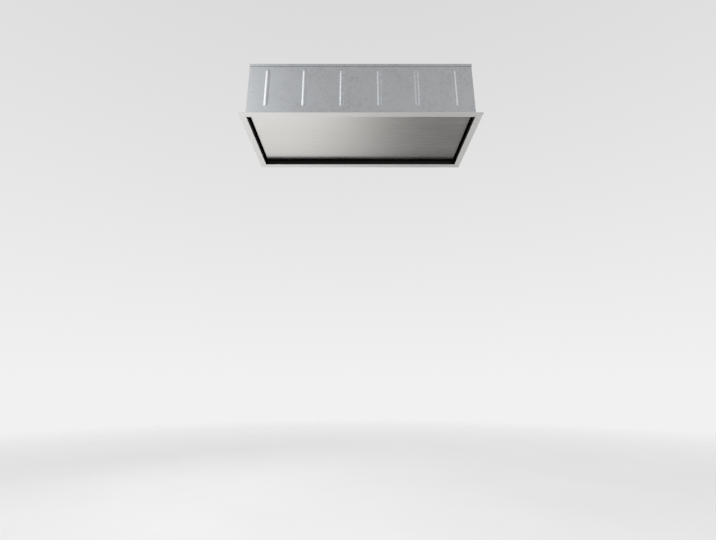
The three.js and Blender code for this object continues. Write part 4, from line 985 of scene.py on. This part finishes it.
def box_details():
    """A raised field on the control box's lid and the feet that hold the box."""
    low, high = corners_mm("control_box_lid")
    centre = (low + high) / 2
    foot_z = corners_mm("control_box")[0].z - BOX_EAR_DROP
    field = [(0, -0.2), (0, 0.3), (0.4, 0.6), (6, 0.6)]
    half_x, half_y = (high.x - low.x) / 2 - BOX_FIELD_IN, (high.y - low.y) / 2 - BOX_FIELD_IN
    bm = bmesh.new()
    matrix = Matrix.Translation(Vector((centre.x, centre.y, high.z)) * MM)
    stacked(bm, matrix, [rounded_outline(half_x - d, half_y - d, 7 - d / 2, z) for d, z in field])
    ear = [(0, 0), (0, BOX_EAR_THICK - 0.4), (0.4, BOX_EAR_THICK)]
    screws = []
    for x in (low.x + BOX_EAR_IN, high.x - BOX_EAR_IN):
        for y, side in ((low.y, -1), (high.y, 1)):
            matrix = Matrix.Translation(Vector((x, y + side * BOX_EAR_OUT, foot_z)) * MM)
            stacked(bm, matrix, [rounded_outline(9 - d, 7 - d, 4 - d, z) for d, z in ear])
            screws.append(((x, y + side * BOX_EAR_SCREW, foot_z + BOX_EAR_THICK), Z))
    bmesh.ops.recalc_face_normals(bm, faces=bm.faces)
    evened(piece("box_details", bm, "box_plastic", sharp=SHARP_SMALL))
    fasteners("box_foot_screws", socket_screw, screws)


def collar_screws():
    """The screws that hold the hinge brackets and the latches on the collar."""
    places = []
    for end in ("left", "right"):
        low, high = corners_mm(f"hinge_bracket_{end}")
        for x in (low.x + HINGE_SCREW_IN, high.x - HINGE_SCREW_IN):
            places.append(((x, high.y - PLATE_THICK, HINGE_SCREW_Z), -Y))
        low, high = corners_mm(f"latch_housing_{end}")
        for x in (low.x + LATCH_SCREW_IN, high.x - LATCH_SCREW_IN):
            places += [((x, low.y + PLATE_THICK, z), Y) for z in LATCH_SCREWS_Z]
    fasteners("collar_screws", socket_screw, places)


def panel_welds():
    """The spot welds of what stands on the panel's floor."""
    places = []
    for row in ("front", "back"):
        low, high = corners_mm(f"panel_rib_{row}")
        places += [
            ((x, y, low.z + RIB_THICK), Z)
            for x in spaced(low.x + RIB_WELD_IN, high.x - RIB_WELD_IN, RIB_WELDS)
            for y in (low.y + RIB_WELD_SIDE, high.y - RIB_WELD_SIDE)
        ]
    for end in ("left", "right"):
        low, high = corners_mm(f"strike_plate_{end}")
        for x in (low.x + STRIKE_WELD_IN, high.x - STRIKE_WELD_IN):
            places.append(((x, (low.y + high.y) / 2, low.z + STRIKE_THICK), Z))
        low, high = corners_mm(f"hinge_lug_{end}")
        places.append((((low.x + high.x) / 2, low.y + LUG_WELD_IN, low.z + LUG_THICK), Z))
    fasteners("panel_welds", spot_weld, places, body="panel")


def filter_rivets():
    for name in ("left", "middle", "right"):
        low, high = corners_mm(f"filter_frame_{name}")
        places = [
            ((x, y, low.z), -Z)
            for x in (low.x + FILTER_RIVET_IN, high.x - FILTER_RIVET_IN)
            for y in (low.y + FILTER_RIVET_IN, low.y + FILTER_DEPTH - FILTER_RIVET_IN)
        ]
        fasteners(f"filter_rivets_{name}", small_rivet, places, body=f"filter_{name}")


def hit(node, start, direction):
    """Where a ray first meets a node: the point in mm and the surface's outward direction."""
    bm = bmesh.new()
    bm.from_mesh(frame["nodes"][node].data)
    point, normal, _, _ = BVHTree.FromBMesh(bm).ray_cast(Vector(start) * MM, Vector(direction))
    bm.free()
    if normal.dot(Vector(direction)) > 0:
        normal = -normal
    return point / MM, normal


def blower_details():
    """The clips over the scroll's seam, and the screws of the motor and its bracket."""
    low, high = corners_mm("impeller")
    axis = (low + high) / 2
    bm = bmesh.new()
    clip = [(0, -1.2), (0, 1.6), (0.5, CLIP_TOP)]
    seam_screws = []
    for degrees in CLIP_ANGLES:
        angle = math.radians(degrees)
        out = Vector((0, math.cos(angle), math.sin(angle)))
        start = Vector((SEAM_SCREW, axis.y, axis.z)) + out * FAR_MM
        point, normal = hit("scroll_shell_right", start, -out)
        seat = Vector((0, point.y, point.z))
        matrix = facing(seat, normal, X)
        stacked(bm, matrix, [rounded_outline(11 - d, 6 - d, 2.5 - d, z) for d, z in clip])
        raised = seat + normal * CLIP_TOP
        seam_screws += [(raised + X * side * SEAM_SCREW, normal) for side in (-1, 1)]
    bmesh.ops.recalc_face_normals(bm, faces=bm.faces)
    evened(piece("seam_clips", bm, "scroll_plastic", sharp=SHARP_SMALL))
    fasteners("seam_screws", small_rivet, seam_screws)
    screws = []
    for node, radius, count, turn in MOTOR_SCREWS:
        for i in range(count):
            angle = 2 * math.pi * (i + turn) / count
            y, z = axis.y + radius * math.cos(angle), axis.z + radius * math.sin(angle)
            screws.append((hit(node, (-FAR_MM, y, z), X)[0], -X))
    fasteners("motor_screws", small_rivet, screws)


# ---------- studio ----------


def sweep_color(tree, parts):
    """The sweep, dimmed towards the horizon and held down in steep directions."""
    across = between(tree, parts["X"], 0, 1, SWEEP_LEFT, SWEEP_RIGHT)
    ramp = add(tree, "ValToRGB", {"Fac": across})
    ramp.color_ramp.interpolation = "B_SPLINE"
    while len(ramp.color_ramp.elements) < len(SWEEP):
        ramp.color_ramp.elements.new(0.5)
    for element, (x, level, tint) in zip(ramp.color_ramp.elements, SWEEP):
        element.position = (x - SWEEP_LEFT) / (SWEEP_RIGHT - SWEEP_LEFT)
        share = level / SWEEP_TOP
        element.color = (share, share * (1 - tint), share * (1 - tint), 1)
    gain = between(tree, parts["Z"], SWEEP_LOW, SWEEP_HIGH, *SWEEP_FALL)
    glow = scaled(tree, ramp.outputs["Color"], gain)
    top = between(tree, parts["Z"], STEEP_TOP, SWEEP_LOW, *STEEP)
    cap = add(tree, "CombineXYZ", {"X": top, "Y": top, "Z": top}).outputs["Vector"]
    return add(tree, "VectorMath", {0: glow, 1: cap}, operation="MINIMUM").outputs["Vector"]


def studio_world():
    """A pale backdrop for the camera, and a dimmer ground and the sweep for surfaces."""
    world = bpy.data.worlds.new("studio")
    bpy.context.scene.world = world
    world.use_nodes = True
    tree = world.node_tree
    direction = add(tree, "TexCoord").outputs["Generated"]
    parts = add(tree, "SeparateXYZ", {"Vector": direction}).outputs
    behind = between(tree, parts["Y"], 0, 1, *SWEEP_BEHIND)
    under = between(tree, parts["Z"], 1, 0, *SWEEP_UNDER)
    mask = combined(tree, "MULTIPLY", behind, under)
    high = between(tree, parts["Z"], BACKDROP, BACKDROP_HIGH, 0, OVERHEAD)
    grey = add(tree, "CombineColor", {"Red": high, "Green": high, "Blue": high}).outputs[0]
    ground = between(tree, parts["Z"], GROUND / BACKDROP, 1, STRAIGHT_BELOW, 0)
    lean = add(tree, "VectorMath", {0: direction, 1: LEAN}, operation="DOT_PRODUCT")
    side = between(tree, lean.outputs["Value"], DIM_SIDE, BRIGHT_SIDE, -1, 1)
    dim = scaled(tree, grey, combined(tree, "MULTIPLY", ground, side))
    for_surfaces = mixed(tree, mask, dim, sweep_color(tree, parts))
    rays = add(tree, "LightPath").outputs
    seen = combined(tree, "MAXIMUM", rays["Is Camera Ray"], rays["Is Transmission Ray"])
    shown = mixed(tree, seen, for_surfaces, grey)
    tree.links.new(shown, tree.nodes["Background"].inputs["Color"])


def lamp(name, place_mm, size_mm, power):
    """A square lamp, aimed at the hood, which the camera doesn't see."""
    data = bpy.data.lights.new(name, "AREA")
    data.shape = "RECTANGLE"
    data.size, data.size_y = size_mm * MM, size_mm * MM
    data.energy = power
    made = bpy.data.objects.new(name, data)
    made.location = Vector(place_mm) * MM
    aim = -Vector(place_mm).normalized()
    made.rotation_euler = aim.to_track_quat("-Z", "Y").to_euler()
    bpy.context.scene.collection.objects.link(made)
    made.visible_camera = False


def make_floor():
    """A pale floor that fades into the backdrop, and that surfaces don't see."""
    bm = bmesh.new()
    half = FLOOR_SIZE / 2 * MM
    corners = ((-half, -half), (half, -half), (half, half), (-half, half))
    bm.faces.new([bm.verts.new((x, y, -FLOOR_DROP * MM)) for x, y in corners])
    mesh = bpy.data.meshes.new("floor")
    bm.to_mesh(mesh)
    bm.free()
    material, tree, shader = start_material("floor", 0.9, 0)
    mottle = noise(tree, place(tree), 0.8, 3)
    tree.links.new(
        tones(tree, mottle, (0.9, 0.9, 0.9), (0.93, 0.93, 0.93)), shader.inputs["Base Color"]
    )
    centre = add(tree, "VectorMath", {0: place(tree)}, operation="LENGTH").outputs["Value"]
    fade = between(tree, centre, 0, 1, *FLOOR_FADE)
    clear = add(tree, "BsdfTransparent")
    faded = add(tree, "MixShader", {0: fade, 1: shader.outputs[0], 2: clear.outputs[0]})
    tree.links.new(faded.outputs[0], tree.nodes["Material Output"].inputs["Surface"])
    mesh.materials.append(material)
    floor = bpy.data.objects.new("floor", mesh)
    bpy.context.scene.collection.objects.link(floor)
    floor.visible_glossy = False
    floor.visible_diffuse = False


# ---------- the scene ----------
make_camera()
frame_piece()
panel_piece()
filter_meshes()
filter_handles()
latch_plungers()
latch_details()
spigot()
gland()
for node in sorted(frame["nodes"]):
    if not node.startswith(OWN):
        widths = [width for start, width in ROUNDING.items() if node.startswith(start)]
        dressed(node, widths[0] if widths else BEND)
casing_beads()
outlet_covers()
casing_fasteners()
hanger_bolts()
box_screws()
box_details()
collar_screws()
panel_welds()
filter_rivets()
blower_details()
studio_world()
make_floor()
for name, (place_mm, size_mm, power) in LAMPS.items():
    lamp(name, place_mm, size_mm, power)

bpy.context.scene.view_settings.view_transform = "Standard"
